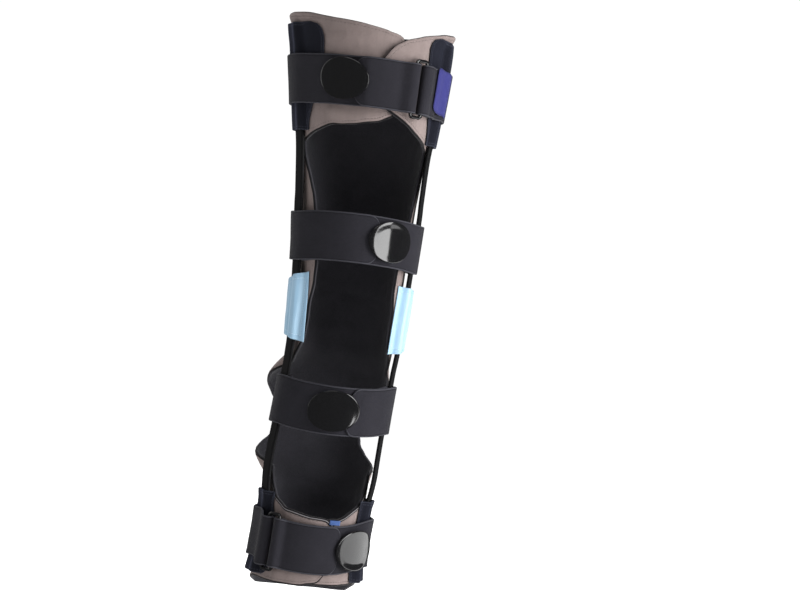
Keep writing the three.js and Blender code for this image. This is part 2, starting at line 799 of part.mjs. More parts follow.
function sideLabel(height) {
  const at = thighClosure.ring - 360;
  const over = strapHalf + clearance + labelThickness / 2;
  const onWebbing = layerOnWing + strapLayer + over + 0.4;
  const onStay = layerOverStay + over + 0.2;
  const rounded = [0.8, 1, 1, 1, 1, 0.8];
  const slant = [3, 2, 1, 0, -2, -3];
  const start = at + 15.5;
  const stations = [
    { angle: start, lift: onWebbing + 1.2 },
    { angle: start + 3.5, lift: onWebbing + 0.6 },
    { angle: start + 10, lift: onStay },
    { angle: innerStay, across: -humpWide, lift: onStay },
    { angle: innerStay, across: -humpWide + labelWidth / 4, lift: onStay },
    { angle: innerStay, across: -humpWide + labelWidth / 3.2, lift: onStay },
  ].map((station, i) => ({ ...station, narrow: rounded[i], slant: slant[i] }));
  const rows = [-0.5, 0, 0.5];
  const heightOf = (station, row) => height + station.slant + rows[row] * labelHeight * station.narrow;
  const lines = rows.map(() => stations);
  return meshOf("side_label", band(lines, labelThickness, heightOf), {
    color: 0x3b3f96,
    roughness: 0.7,
    metalness: 0,
  });
}

function calfLabel(bottom) {
  const angle = 19;
  const turn = turnOf(calfLabelWidth / 2, angle, bottom);
  const lift = onPanel + wingStep + labelThickness / 2;
  const stations = [-turn, 0, turn].map((away) => ({ angle: angle + away, lift }));
  const heights = [bottom, bottom + calfLabelHeight];
  return meshOf("calf_label", band([stations, stations], labelThickness, (_, row) => heights[row]), {
    color: 0x4a55b5,
    roughness: 0.7,
    metalness: 0,
  });
}

const thighStrapHeight = halfLength - thighStrapDrop;
const calfStrapHeight = -halfLength + calfStrapRise;
const overLayers = strapHalf + clearance;
const kneeTabLift = kneeTailLift + overLayers;
const cuffTabEnd = layerOnWing + strapLayer + overLayers;

const cuffTabAngle = ({ ring, tailBack, tabPast }) => ring - tailBack - tabPast;
const kneeTabAngle = ({ tail, tabPast }) => tail + tabPast;

const brace = new THREE.Group();
brace.add(
  wrapPanel(),
  stay("medial_stay", innerStay),
  stay("lateral_stay", outerStay),
  pad("medial_thigh_pad", innerStay, THIGH_PAD),
  pad("lateral_thigh_pad", outerStay, THIGH_PAD),
  pad("medial_calf_pad", innerStay, INNER_CALF_PAD),
  pad("lateral_calf_pad", outerStay, CALF_PAD),
  kneeSleeve("medial_knee_sleeve", innerStay, INNER_SLEEVE),
  kneeSleeve("lateral_knee_sleeve", outerStay, OUTER_SLEEVE),
  ribbon("thigh_strap", cuffStrapStations(thighClosure), thighStrapHeight, 0, strapFinish),
  ribbon("thigh_loop_webbing", webbingStations(thighClosure), thighStrapHeight, 0, strapFinish),
  loop("thigh_loop", thighClosure.ring, () => thighStrapHeight),
  tab(
    "thigh_tab",
    cuffTabAngle(thighClosure),
    thighStrapHeight + 1,
    layerOnPad + overLayers,
    cuffTabEnd,
  ),
  ribbon(
    "upper_knee_strap",
    kneeStrapStations(upperKneeClosure.tail),
    upperKneeStrapHeight,
    upperKneeStrapArch,
    strapFinish,
  ),
  tab(
    "upper_knee_tab",
    kneeTabAngle(upperKneeClosure),
    upperKneeStrapHeight + upperKneeStrapArch,
    kneeTabLift,
    kneeTabLift + 2,
  ),
  ribbon(
    "lower_knee_strap",
    mirror(kneeStrapStations(lowerKneeClosure.tail)),
    lowerKneeStrapHeight,
    lowerKneeStrapArch,
    strapFinish,
  ),
  tab(
    "lower_knee_tab",
    -kneeTabAngle(lowerKneeClosure),
    lowerKneeStrapHeight + lowerKneeStrapArch,
    kneeTabLift,
    kneeTabLift,
  ),
  ribbon("calf_strap", mirror(cuffStrapStations(calfClosure)), calfStrapHeight, calfStrapArch, strapFinish),
  ribbon(
    "calf_loop_webbing",
    mirror(webbingStations(calfClosure)),
    calfStrapHeight,
    calfStrapArch,
    strapFinish,
  ),
  loop("calf_loop", -calfClosure.ring, (angle) => calfStrapHeight + calfStrapArch * frontShare(angle)),
  tab(
    "calf_tab",
    -cuffTabAngle(calfClosure),
    calfStrapHeight + calfStrapArch * 0.8,
    cuffTabEnd,
    cuffTabEnd + 2,
  ),
  sideLabel(thighStrapHeight + 2),
  calfLabel(calfStrapHeight + calfStrapArch + strapWidth / 2 + 1.3),
);

export default brace;
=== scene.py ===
# %% [markdown]
# # A knee immobilizer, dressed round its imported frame
# The brace is one padded panel cut like an I, wrapped round a leg, with two flat stays, loop-cloth
# pads and light sleeves over them, and four straps closed by glossy tabs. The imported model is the
# fixed frame and says where everything is. This lesson makes it look like cloth, webbing and
# plastic. We load it first, and keep its box to compare with ours at the end.

# %% Load the frame
import math

import bpy
import numpy as np
from mathutils import Matrix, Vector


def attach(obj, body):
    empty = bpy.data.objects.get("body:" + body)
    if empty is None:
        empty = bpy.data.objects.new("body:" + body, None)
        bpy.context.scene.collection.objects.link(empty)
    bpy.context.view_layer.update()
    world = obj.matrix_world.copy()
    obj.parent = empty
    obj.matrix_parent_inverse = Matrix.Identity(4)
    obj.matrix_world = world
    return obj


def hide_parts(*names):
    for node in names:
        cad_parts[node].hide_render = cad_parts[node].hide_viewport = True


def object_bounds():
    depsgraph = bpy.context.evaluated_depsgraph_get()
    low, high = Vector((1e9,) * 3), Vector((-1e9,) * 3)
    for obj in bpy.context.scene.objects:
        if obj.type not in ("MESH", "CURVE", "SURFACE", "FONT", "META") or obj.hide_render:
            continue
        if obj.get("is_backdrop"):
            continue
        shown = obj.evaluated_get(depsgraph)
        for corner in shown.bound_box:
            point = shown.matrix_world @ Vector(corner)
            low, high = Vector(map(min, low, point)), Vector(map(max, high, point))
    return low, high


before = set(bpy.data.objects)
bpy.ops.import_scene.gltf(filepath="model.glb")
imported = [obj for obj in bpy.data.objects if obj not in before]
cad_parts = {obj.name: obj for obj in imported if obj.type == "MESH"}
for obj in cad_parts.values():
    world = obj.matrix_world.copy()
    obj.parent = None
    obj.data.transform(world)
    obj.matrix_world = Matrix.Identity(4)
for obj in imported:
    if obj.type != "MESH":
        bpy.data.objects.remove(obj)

cad_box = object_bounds()
print("frame:", len(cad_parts), "nodes, box", [tuple(round(v, 4) for v in c) for c in cad_box])

# %% [markdown]
# ## The leg form
# Every soft piece of a worn brace lies on the leg, so a piece is easiest to place by an angle round
# the leg, a height and a distance out from the skin. The leg itself isn't made. Its section at each
# height is an ellipse, read from a short table of shares of the sizes below. The table is the same
# as the frame's, so a piece lands exactly where its solid is. Lengths here are in millimetres, and
# they turn into metres only when a mesh is made.

# %% Sizes, in millimetres and degrees
HALF_LENGTH = 300.0
FORM_REACH = 84.0
PANEL = 4.0
CLEAR = 0.65
PAD = 1.8
SLEEVE = 1.2
STRAP = 2.2
STRAP_WIDTH = 50.0
STAY_WIDTH = 25.0
STAY = 3.5
STAY_ANGLE = 76.5
MM = 0.001
# The usual gap between a mesh's lines.
LINE_STEP = 2.4

INNER_STAY = STAY_ANGLE
OUTER_STAY = 360 - STAY_ANGLE
ON_PANEL = PANEL + CLEAR
ON_PAD = ON_PANEL + PAD + CLEAR
WING_STEP = ON_PANEL
STRAP_LAYER = STRAP + CLEAR
HUMP = STAY_WIDTH / 2 + 1.0
RAISED_STAY = ON_PANEL + STRAP_LAYER + 0.4

# %% The leg form's table
# Columns: height as a share of half the length, then the side reach, the middle's place along X,
# and the front and back reach, as shares of half the thigh width.
LEG_FORM = np.array([
    (-1.0, 0.65, -0.16, 0.6, 0.62), (-0.94, 0.615, -0.155, 0.57, 0.615),
    (-0.9, 0.585, -0.15, 0.555, 0.62), (-0.84, 0.562, -0.142, 0.55, 0.635),
    (-0.75, 0.557, -0.13, 0.553, 0.66), (-0.627, 0.567, -0.11, 0.566, 0.7),
    (-0.477, 0.57, -0.086, 0.595, 0.762), (-0.32, 0.56, -0.051, 0.619, 0.762),
    (-0.18, 0.558, -0.024, 0.655, 0.714), (-0.1, 0.568, -0.01, 0.69, 0.7),
    (0.083, 0.594, -0.011, 0.725, 0.69), (0.243, 0.625, -0.019, 0.75, 0.75),
    (0.4, 0.668, -0.038, 0.798, 0.821), (0.567, 0.738, -0.062, 0.845, 0.905),
    (0.667, 0.782, -0.075, 0.876, 0.952), (0.777, 0.826, -0.09, 0.905, 1.002),
    (0.9, 0.877, -0.114, 0.932, 1.056), (1.007, 0.925, -0.149, 0.952, 1.095),
])
# Columns: height share, how far the stay is raised to let the knee straps pass behind it.
STAY_LIFT = np.array([
    (-0.9, 0), (-0.66, 0), (-0.55, 1), (-0.2, 1), (0.1, 1), (0.37, 1), (0.583, 0), (0.933, 0),
], float)


def curve(table, column, at):
    """A smooth curve through a table's rows: cubic spans whose slope at a row is that of the line
    from the row before it to the row after it."""
    x, y = table[:, 0], table[:, column]
    at = np.clip(np.asarray(at, float), x[0], x[-1])
    slope = np.gradient(y, x)
    slope[1:-1] = (y[2:] - y[:-2]) / (x[2:] - x[:-2])
    low = np.clip(np.searchsorted(x, at, side="left") - 1, 0, len(x) - 2)
    span = x[low + 1] - x[low]
    t = (at - x[low]) / span
    rise = y[low + 1] - y[low]
    bend = (t - 1) * (slope[low] * span - rise) - t * (slope[low + 1] * span - rise)
    return y[low] + t * rise - t * (t - 1) * bend


def section(height):
    """The form at a height: side reach, the middle's place along X, front reach and back reach."""
    return [curve(LEG_FORM, k, np.asarray(height) / HALF_LENGTH) * FORM_REACH for k in (1, 2, 3, 4)]


def on_leg(angle, height, lift, across=0.0):
    """Points on the leg: the ellipse's point at the angle, plus lift times its outward normal,
    plus across times its tangent. Angle 0 is the front and grows towards the inner side."""
    angle, height, lift, across = np.broadcast_arrays(angle, height, lift, across)
    side, middle, front, back = section(height)
    turn = np.radians(angle)
    deep = (back + front) / 2
    out = np.stack([deep * np.sin(turn), -side * np.cos(turn)], -1)
    out /= np.linalg.norm(out, axis=-1, keepdims=True)
    x = middle + side * np.sin(turn) + lift * out[..., 0] - across * out[..., 1]
    y = (back - front) / 2 - deep * np.cos(turn) + lift * out[..., 1] + across * out[..., 0]
    return np.stack([x, y, height], -1)


def turn_of(length, angle, height, lift=ON_PANEL):
    """How many degrees an arc of that length takes: length over the local radius."""
    side, _, front, back = section(height)
    turn = np.radians(angle)
    radius = np.hypot(side * np.cos(turn), (back + front) / 2 * np.sin(turn)) + lift
    return np.degrees(length / radius)


def stay_lift(height):
    """The stay's underside above the form: on the panel, and raised at the knee."""
    raised = curve(STAY_LIFT, 1, np.asarray(height) / HALF_LENGTH)
    return ON_PANEL + (RAISED_STAY - ON_PANEL) * raised


def front_share(angle):
    """1 at the front, falling to 0 at the sides: the cosine of the angle, never below 0."""
    return np.maximum(0, np.cos(np.radians(angle)))


print("leg form at the knee:", on_leg(np.array([0, 90, 180]), 0.0, 0.0).round(1).tolist())

# %% [markdown]
# ## Turning a sheet of points into cloth
# Cloth has two faces and a rounded edge. A flat sheet of points given a constant thickness would
# have a square edge like card, so the helper below measures how far each point is from the sheet's
# edge and lets the thickness swell from almost nothing to its full size over a short distance, as
# a half circle does. The same distance is stored on the mesh as an attribute, and the materials
# use it later for bindings and stitch lines.

# %% Net, boundary and thickness helpers


def grid_faces(index):
    """Quads of a grid of vertex numbers: each square of four neighbours."""
    corners = [index[:-1, :-1], index[:-1, 1:], index[1:, 1:], index[1:, :-1]]
    return np.stack(corners, -1).reshape(-1, 4)


def free_edges(faces):
    """Directed edges that only one face has, found by sorting every edge's two ends."""
    edges = np.concatenate([np.stack([faces[:, i], faces[:, (i + 1) % 4]], -1) for i in range(4)])
    key = np.sort(edges, 1)
    _, first, count = np.unique(key, axis=0, return_index=True, return_counts=True)
    return edges[first[count == 1]]


def normals_of(points, faces):
    """Each vertex's normal: the sum of the crossed diagonals of its faces, at length 1."""
    quad = points[faces]
    face = np.cross(quad[:, 2] - quad[:, 0], quad[:, 3] - quad[:, 1])
    found = np.zeros_like(points)
    for corner in range(4):
        np.add.at(found, faces[:, corner], face)
    return found / np.maximum(np.linalg.norm(found, axis=1, keepdims=True), 1e-12)


def rounded(distance, radius, least=0.2):
    """A share of the full thickness: a quarter circle from `least` at the edge to 1 at radius."""
    near = 1 - np.clip(distance / radius, 0, 1)
    return least + (1 - least) * np.sqrt(np.maximum(0, 1 - near ** 2))


def mesh_object(name, node, points, faces, finishes, face_slots=None, uv=None, values=None):
    """Points in millimetres and quads become a mesh in metres that stands in for a frame node,
    with its materials, UV map and number attributes. The signed volume, a sum of corner products
    over all faces, is negative when a closed piece is inside out, and then every face is turned."""
    quad = points[faces]
    halves = [(quad[:, 0], quad[:, 1], quad[:, 2]), (quad[:, 0], quad[:, 2], quad[:, 3])]
    volume = sum(np.einsum("ij,ij->", a, np.cross(b, c)) for a, b, c in halves) / 6
    if volume < 0:
        faces = faces[:, ::-1]
    mesh = bpy.data.meshes.new(name)
    mesh.from_pydata((points * MM).tolist(), [], faces.tolist())
    for finish in finishes:
        mesh.materials.append(finish)
    if face_slots is not None:
        mesh.polygons.foreach_set("material_index", face_slots.astype(np.int32))
    mesh.polygons.foreach_set("use_smooth", np.full(len(mesh.polygons), True))
    if uv is not None:
        layer = mesh.uv_layers.new(name="UVMap")
        corners = np.zeros(len(mesh.loops), np.int32)
        mesh.loops.foreach_get("vertex_index", corners)
        layer.data.foreach_set("uv", uv[corners].astype(np.float32).ravel())
    for key, numbers in (values or {}).items():
        attribute = mesh.attributes.new(key, "FLOAT", "POINT")
        attribute.data.foreach_set("value", numbers.astype(np.float32))
    mesh.update()
    made = bpy.data.objects.new(name, mesh)
    bpy.context.scene.collection.objects.link(made)
    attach(made, "root")
    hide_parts(node)
    print(f"{name}: {len(points)} points, {abs(volume) / 1000:.1f} cm3")
    return made


def cloth_solid(points, faces, distance, thickness, radius, out_first):
    """Both faces of a sheet and the wall between them: points plus and minus half the thickness
    along the normal, with the thickness rounded off towards the edge."""
    normal = normals_of(points, faces)
    if np.einsum("ij,ij->i", normal, out_first)[: max(len(points) // 50, 4)].mean() < 0:
        faces, normal = faces[:, ::-1], -normal
    half = (thickness / 2 * rounded(distance, radius))[:, None]
    count = len(points)
    edge = free_edges(faces)
    wall = np.stack([edge[:, 0], edge[:, 0] + count, edge[:, 1] + count, edge[:, 1]], -1)
    solid = np.concatenate([faces, faces[:, ::-1] + count, wall])
    side = np.repeat([0, 1, 2], [len(faces), len(faces), len(wall)])
    return np.concatenate([points + half * normal, points - half * normal]), solid, side


# %% [markdown]
# ## Materials as expressions
# A node tree is hard to read as a list of links. Here one small class wraps a socket, so that
# `1 - mask * 0.4` adds the Math nodes for us, and one method adds any other node. The finish of a
# brace is in small things: brushed cloth scatters light, webbing shows its ribs and selvedge, satin
# shines in streaks, and moulded plastic has fine scratches.

# %% The socket wrapper and the finish builder


class Value:
    """A node socket that can be used in arithmetic."""

    def __init__(self, finish, socket):
        self.finish, self.socket = finish, socket

    def maths(self, operation, *others):
        return self.finish.add("Math", {"operation": operation}, dict(enumerate(others)))

    def __add__(self, other):
        return self.maths("ADD", self, other)

    __radd__ = __add__

    def __mul__(self, other):
        return self.maths("MULTIPLY", self, other)

    def __sub__(self, other):
        return self.maths("SUBTRACT", self, other)

    def __rsub__(self, other):
        return self.maths("SUBTRACT", other, self)

    def __abs__(self):
        return self.maths("ABSOLUTE", self)

    def below(self, edge, soft):
        """1 where the value is under the edge, 0 above it, over a soft step."""
        sockets = {"Value": self, "From Min": edge + soft, "From Max": edge - soft}
        return self.finish.add("MapRange", {"interpolation_type": "SMOOTHSTEP"}, sockets)

    def wave(self, length):
        """A smooth wave between 0 and 1 that repeats over that length."""
        return self.maths("SINE", self * (2 * math.pi / length)) * 0.5 + 0.5

    def apart(self, length):
        """The value's place inside each stretch of that length, from 0 to 1."""
        return self.maths("FRACT", self.maths("DIVIDE", self, length))


class Finish:
    """One material, or the world's node tree: its nodes come from add()."""

    def __init__(self, name=None, tree=None):
        if name:
            self.material = bpy.data.materials.new(name)
            self.material.use_nodes = True
            tree = self.material.node_tree
            tree.nodes.clear()
        self.tree = tree

    def add(self, kind, settings=None, sockets=None, give=0):
        """Any node: its type, its settings first, and then the values or links of its sockets."""
        node = self.tree.nodes.new("ShaderNode" + kind)
        for key, value in (settings or {}).items():
            setattr(node, key, value)
        for key, value in (sockets or {}).items():
            if isinstance(value, Value):
                self.tree.links.new(value.socket, node.inputs[key])
            else:
                node.inputs[key].default_value = value
        return Value(self, node.outputs[give])

    def numbers(self, *names):
        """The mesh's number attributes of these names."""
        return [self.add("Attribute", {"attribute_name": name}, give="Fac") for name in names]

    def uv(self):
        parts = self.add("SeparateXYZ", None, {0: self.add("UVMap", {"uv_map": "UVMap"})}).socket.node
        return Value(self, parts.outputs[0]), Value(self, parts.outputs[1])

    def noise(self, scale, detail=2.0, rough=0.5, stretch=None):
        """Noise in Object coordinates, which may be stretched first."""
        place = self.add("TexCoord", give="Object")
        if stretch:
            place = self.add("Mapping", None, {"Vector": place, "Scale": stretch})
        sockets = {"Vector": place, "Scale": scale, "Detail": detail, "Roughness": rough}
        return self.add("TexNoise", None, sockets)

    def layers(self, first, *coats):
        """Tones laid one over another, each by its own mask."""
        colour = tone(*first)
        for mask, coat in coats:
            sockets = {0: mask, 6: colour, 7: tone(*coat)}
            colour = self.add("Mix", {"data_type": "RGBA"}, sockets, give=2)
        return colour

    def bump(self, height, distance, strength=1.0):
        sockets = {"Height": height, "Distance": distance, "Strength": strength}
        return self.add("Bump", None, sockets)

    def surface(self, **sockets):
        """The Principled shader: names with _ for spaces."""
        shader = self.add(
            "BsdfPrincipled", None, {key.replace("_", " "): value for key, value in sockets.items()}
        )
        out = self.tree.nodes.new("ShaderNodeOutputMaterial")
        self.tree.links.new(shader.socket, out.inputs["Surface"])
        return self.material


def tone(red, green, blue):
    """A display colour from 0 to 255 as the linear colour that a shader wants."""
    c = np.array([red, green, blue]) / 255
    return (*np.where(c <= 0.04045, c / 12.92, ((c + 0.055) / 1.055) ** 2.4).tolist(), 1.0)


print("a mid grey is", [round(v, 3) for v in tone(128, 128, 128)])

# %% [markdown]
# ## The cloths
# The panel is foam between a brushed taupe cloth and a black lining. Brushed cloth has no shine and
# a faint nap, so it gets sheen, mottled colour and two sizes of bump: the nap, and slack wrinkles.
# Near its edge a narrow black binding is sewn on, drawn from the edge distance, with a line of
# stitches beside it.

# %% Panel cloth and its lining


def stitches(distance, run, at, pitch=3.4):
    """A dashed line: inside a narrow band of the edge distance, and in 6 parts of 10 of each
    pitch along the run."""
    return abs(distance - at).below(0.32, 0.16) * run.apart(pitch).below(0.62, 0.08)


def panel_finish():
    f = Finish("panel_cloth")
    edge, run, width, seam, piping = f.numbers("edge", "run", "binding", "seam", "piping")
    nap, blotch = f.noise(900, 2, 0.6), f.noise(34, 3, 0.55)
    streak = f.noise(70, 3, 0.6, stretch=(1.0, 1.0, 0.3))
    sewn, channel = stitches(edge, run, 3.9), abs(seam).below(0.8, 0.6)
    bound = (edge - width).below(0.0, 0.3)
    # A pale line inside the wider calf-top binding is a painted highlight on the piping.
    painted_piping_highlight = abs(edge - 1.7).below(0.34, 0.2) * piping
    height = nap * 0.25 + f.noise(150, 2, 0.5) * 0.6 + f.noise(38, 2, 0.45) * 1.9
    return f.surface(
        Base_Color=f.layers(
            (104, 93, 91), (blotch, (124, 112, 109)), (nap * 0.5, (96, 86, 84)),
            (streak.below(0.42, 0.16) * 0.35, (88, 79, 77)), (sewn * 0.3, (62, 56, 56)),
            (channel * 0.5, (66, 60, 60)), (bound, (12, 12, 15)), (painted_piping_highlight * 0.5, (150, 146, 148)),
        ),
        Roughness=0.93 - nap * 0.08,
        Normal=f.bump(height - sewn * 0.8 - channel * 1.6 + bound * 0.9, 0.0011, 0.75),
        Sheen_Weight=0.16,
        Sheen_Roughness=0.45,
        Sheen_Tint=tone(225, 215, 212),
        Specular_IOR_Level=0.2,
    )


def lining_finish():
    f = Finish("panel_lining")
    knit, worn = f.noise(700, 1, 0.5), f.noise(40, 2, 0.5)
    return f.surface(
        Base_Color=f.layers((26, 26, 30), (worn, (42, 41, 46)), (knit * 0.4, (56, 55, 60))),
        Roughness=0.95 - knit * 0.06,
        Normal=f.bump(knit, 0.0005, 0.5),
        Sheen_Weight=0.08,
        Sheen_Roughness=0.5,
        Specular_IOR_Level=0.2,
    )


panel_cloth = panel_finish()
panel_lining = lining_finish()
print("made", panel_cloth.name, "and", panel_lining.name)

# %% [markdown]
# The straps are webbing faced with loop pile. Seen close they have fine ribs across the strap, a
# pile that breaks up the ribs, and a smooth woven selvedge on each side, its colour painted lighter
# as a highlight, with a groove inside it painted darker as shade. The UV map holds real metres, u
# along and v across, so the ribs keep their size.

# %% Strap webbing


def strap_finish():
    f = Finish("strap_cloth")
    along, across = f.uv()
    (edge,) = f.numbers("edge")
    ribs, cords = along.wave(0.0011), across.wave(0.0013)
    pile, worn = f.noise(1100, 2, 0.6), f.noise(45, 3, 0.6)
    # The selvedge is smoother and raised, and its lighter colour is a painted highlight. The groove just
    # inside it is pressed in and painted darker as shade.
    selvedge_and_highlight, groove_and_shade = edge.below(1.5, 0.25), abs(edge - 2.0).below(0.3, 0.2)
    height = ribs * cords * 0.45 + pile * 0.55 + selvedge_and_highlight * 0.5 - groove_and_shade * 0.6
    return f.surface(
        Base_Color=f.layers(
            (22, 22, 26), (worn, (34, 33, 38)), (pile * 0.5, (40, 39, 45)),
            (selvedge_and_highlight * 0.6, (57, 57, 63)), (groove_and_shade * 0.7, (12, 12, 15)),
        ),
        Roughness=0.84 - selvedge_and_highlight * 0.2,
        Normal=f.bump(height, 0.0005, 0.7),
        Sheen_Weight=0.06,
        Sheen_Roughness=0.4,
        Specular_IOR_Level=0.12,
    )


def pad_finish():
    f = Finish("pad_cloth")
    edge, run = f.numbers("edge", "run")
    pile, brushed = f.noise(1000, 3, 0.65), f.noise(26, 3, 0.6)
    # The 1.3 mm rim band is raised by the bump, and its lighter colour is a painted highlight along the
    # edge.
    rim, sewn = edge.below(1.3, 0.3), stitches(edge, run, 3.2, 3.0)
    height = pile * 0.7 + f.noise(160, 2, 0.5) * 0.5 + rim * 0.4 - sewn * 0.5
    return f.surface(
        Base_Color=f.layers(
            (11, 12, 17), (brushed, (20, 21, 28)), (pile * 0.5, (27, 28, 37)),
            (rim * 0.6, (40, 42, 50)), (sewn * 0.4, (66, 68, 78)),
        ),
        Roughness=0.94 - pile * 0.06,
        Normal=f.bump(height, 0.0005, 0.6),
        Sheen_Weight=0.2,
        Sheen_Roughness=0.35,
        Sheen_Tint=tone(150, 156, 190),
        Specular_IOR_Level=0.12,
    )


strap_cloth = strap_finish()
pad_cloth = pad_finish()
print("made", strap_cloth.name, "and", pad_cloth.name)

# %% [markdown]
# The knee sleeves are a thin light blue satin, smooth and a little shiny, with a hem at the top and
# bottom. Each label is woven in two blues with a raised border and stays bare. The stays have a
# satin black coat, and the loops and tabs are moulded in gloss black with faint scratches.

# %% Satin, label, stay coat and gloss plastic


def sleeve_finish():
    f = Finish("sleeve_cloth")
    _, across = f.uv()
    edge, run, fold = f.numbers("edge", "run", "fold")
    slub = f.noise(60, 3, 0.6, stretch=(1.0, 1.0, 0.18))
    hem, sewn = edge.below(5.2, 0.3), stitches(edge, run, 5.4, 2.6)
    weave = across.wave(0.0007) * 0.2 + f.noise(1300, 1, 0.5) * 0.25
    # The satin in the valleys of the slack folds, where the fold value is below 0, is painted darker as
    # shade.
    return f.surface(
        Base_Color=f.layers(
            (134, 166, 188), (slub, (156, 185, 205)), (fold.below(0.0, 0.8) * 0.45, (108, 146, 174)),
            (hem * 0.2, (116, 152, 178)), (sewn * 0.4, (190, 208, 220)),
        ),
        Roughness=0.36 + slub * 0.16,
        Normal=f.bump(weave + hem * 0.9 - sewn * 0.5 + slub * 0.8, 0.0005, 0.6),
        Sheen_Weight=0.1,
        Sheen_Roughness=0.3,
        Specular_IOR_Level=0.6,
    )


def label_finish(name, dark, light, rim):
    f = Finish(name)
    along, across = f.uv()
    (edge,) = f.numbers("edge")
    twill, border = (along + across).wave(0.0010), edge.below(1.6, 0.2)
    worn = f.noise(50, 2, 0.5) * 0.3
    return f.surface(
        Base_Color=f.layers(dark, (twill, light), (worn, dark), (border * 0.7, rim)),
        Roughness=0.62 + twill * 0.1,
        Normal=f.bump(twill * 0.4 + border * 0.8, 0.0003, 0.6),
        Sheen_Weight=0.06,
        Specular_IOR_Level=0.3,
    )


def stay_finish():
    f = Finish("stay_metal")
    grain = f.noise(1500, 2, 0.6)
    rubbed = f.noise(70, 4, 0.65, stretch=(1.0, 1.0, 0.12))
    return f.surface(
        Base_Color=f.layers((5, 5, 6), (rubbed, (13, 13, 15))),
        Roughness=0.46 + rubbed * 0.22,
        Normal=f.bump(grain * 0.5 + rubbed * 0.4, 0.0002, 0.4),
        Specular_IOR_Level=0.2,
    )


def plastic_finish():
    f = Finish("fastener_plastic")
    scratch = f.noise(240, 5, 0.7, stretch=(1.0, 1.0, 0.15))
    return f.surface(
        Base_Color=f.layers((4, 4, 5), (scratch, (10, 10, 12))),
        Roughness=0.07 + scratch * 0.1,
        Normal=f.bump(f.noise(22, 1, 0.3) * 0.5 + scratch * 0.05, 0.0004, 0.3),
        Specular_IOR_Level=0.6,
        Coat_Weight=0.5,
        Coat_Roughness=0.06,
    )


sleeve_cloth = sleeve_finish()
label_cloth = label_finish("label_cloth", (28, 29, 84), (38, 38, 102), (23, 24, 72))
patch_cloth = label_finish("patch_cloth", (42, 66, 112), (54, 80, 130), (48, 72, 118))
stay_metal = stay_finish()
fastener_plastic = plastic_finish()
print("made", [m.name for m in (sleeve_cloth, label_cloth, patch_cloth, stay_metal, fastener_plastic)])

# %% [markdown]
# ## The wrap panel
# The real panel is cut flat from foam laminate and wrapped: two wings close round the thigh, two
# round the calf, and a waist joins them behind the knee. It could be draped by simulation, but the
# frame already says where it lies, so it is three grids that share their joining rows. One table
# per wing gives its upper and lower edge at each reach round from the middle of the back.

# %% The panel's outline
WAIST_TOP, WAIST_BOTTOM = 0.533, -0.55
THIGH_CORNER, CALF_CORNER = 106.0, 94.0
# Columns: reach in degrees, then the upper and lower edge as shares of half the length.
THIGH_INNER = np.array([
    (0, 1.007, 0.533), (88, 1.0, 0.533), (106, 0.994, 0.565), (122, 0.984, 0.605),
    (145, 0.958, 0.638), (160, 0.932, 0.672), (170, 0.9, 0.695), (177, 0.85, 0.722),
    (181, 0.81, 0.765),
])
THIGH_OUTER = np.array([
    (0, 1.007, 0.533), (88, 1.007, 0.533), (106, 1.005, 0.57), (127, 0.998, 0.603),
    (148, 0.983, 0.63), (170, 0.972, 0.637), (188, 0.958, 0.653), (200, 0.94, 0.68),
    (208, 0.88, 0.72), (212, 0.81, 0.76),
])
CALF_INNER = np.array([
    (0, -0.55, -0.983), (60, -0.55, -0.967), (94, -0.553, -0.927), (104, -0.58, -0.922),
    (114, -0.617, -0.92), (126, -0.652, -0.922), (154, -0.695, -0.925), (180, -0.705, -0.923),
    (200, -0.72, -0.905), (211, -0.75, -0.86), (215, -0.78, -0.82),
])
CALF_OUTER = np.array([
    (0, -0.55, -0.983), (60, -0.55, -0.969), (94, -0.553, -0.937), (104, -0.582, -0.931),
    (114, -0.617, -0.93), (126, -0.647, -0.93), (148, -0.675, -0.93), (174, -0.69, -0.928),
    (192, -0.697, -0.91), (201, -0.72, -0.868), (205, -0.757, -0.82),
])
# Columns: height share, reach to the inner and the outer side.
SIDE = np.array([
    (0.533, 106, 106), (0.467, 109, 116), (0.4, 113, 123), (0.32, 118, 128), (0.243, 123, 129),
    (0.167, 129, 132), (0.1, 130, 131), (0.035, 126, 126), (-0.03, 125, 125), (-0.09, 124, 122),
    (-0.13, 116, 113), (-0.155, 105, 105), (-0.175, 96, 96), (-0.21, 84, 84), (-0.25, 69, 70),
    (-0.29, 56, 57), (-0.33, 46, 47), (-0.37, 39, 40), (-0.42, 38, 38), (-0.46, 42, 44),
    (-0.49, 53, 57), (-0.515, 68, 72), (-0.535, 82, 84), (-0.55, 94, 94),
])[::-1]


def bell(value, middle, reach):
    """A flat-topped hump: 1 in the middle, 0 at the reach, as (1 - x to the 4th) squared."""
    return (1 - np.minimum(np.abs(value - middle) / reach, 1) ** 4) ** 2


def smooth(value, low, high):
    """0 below low, 1 above high, and 3t2 - 2t3 between."""
    t = np.clip((value - low) / (high - low), 0, 1)
    return t * t * (3 - 2 * t)


# Where the top edge starts to flare and by how many millimetres, inner side and outer side.
FLARE_START, FLARE = (0.932, 0.939), (9, 4)
# The reach where the upper wing starts to climb over the lower one, and how far it takes.
CLIMB_START, CLIMB = 117, 27
# The calf's swell: its middle and half height as shares, then its millimetres at the inner side
# and how many more there are at the outer side.
SWELL_AT, SWELL_REACH, SWELL_INNER, SWELL_MORE = -0.373, 0.25, 10, 18


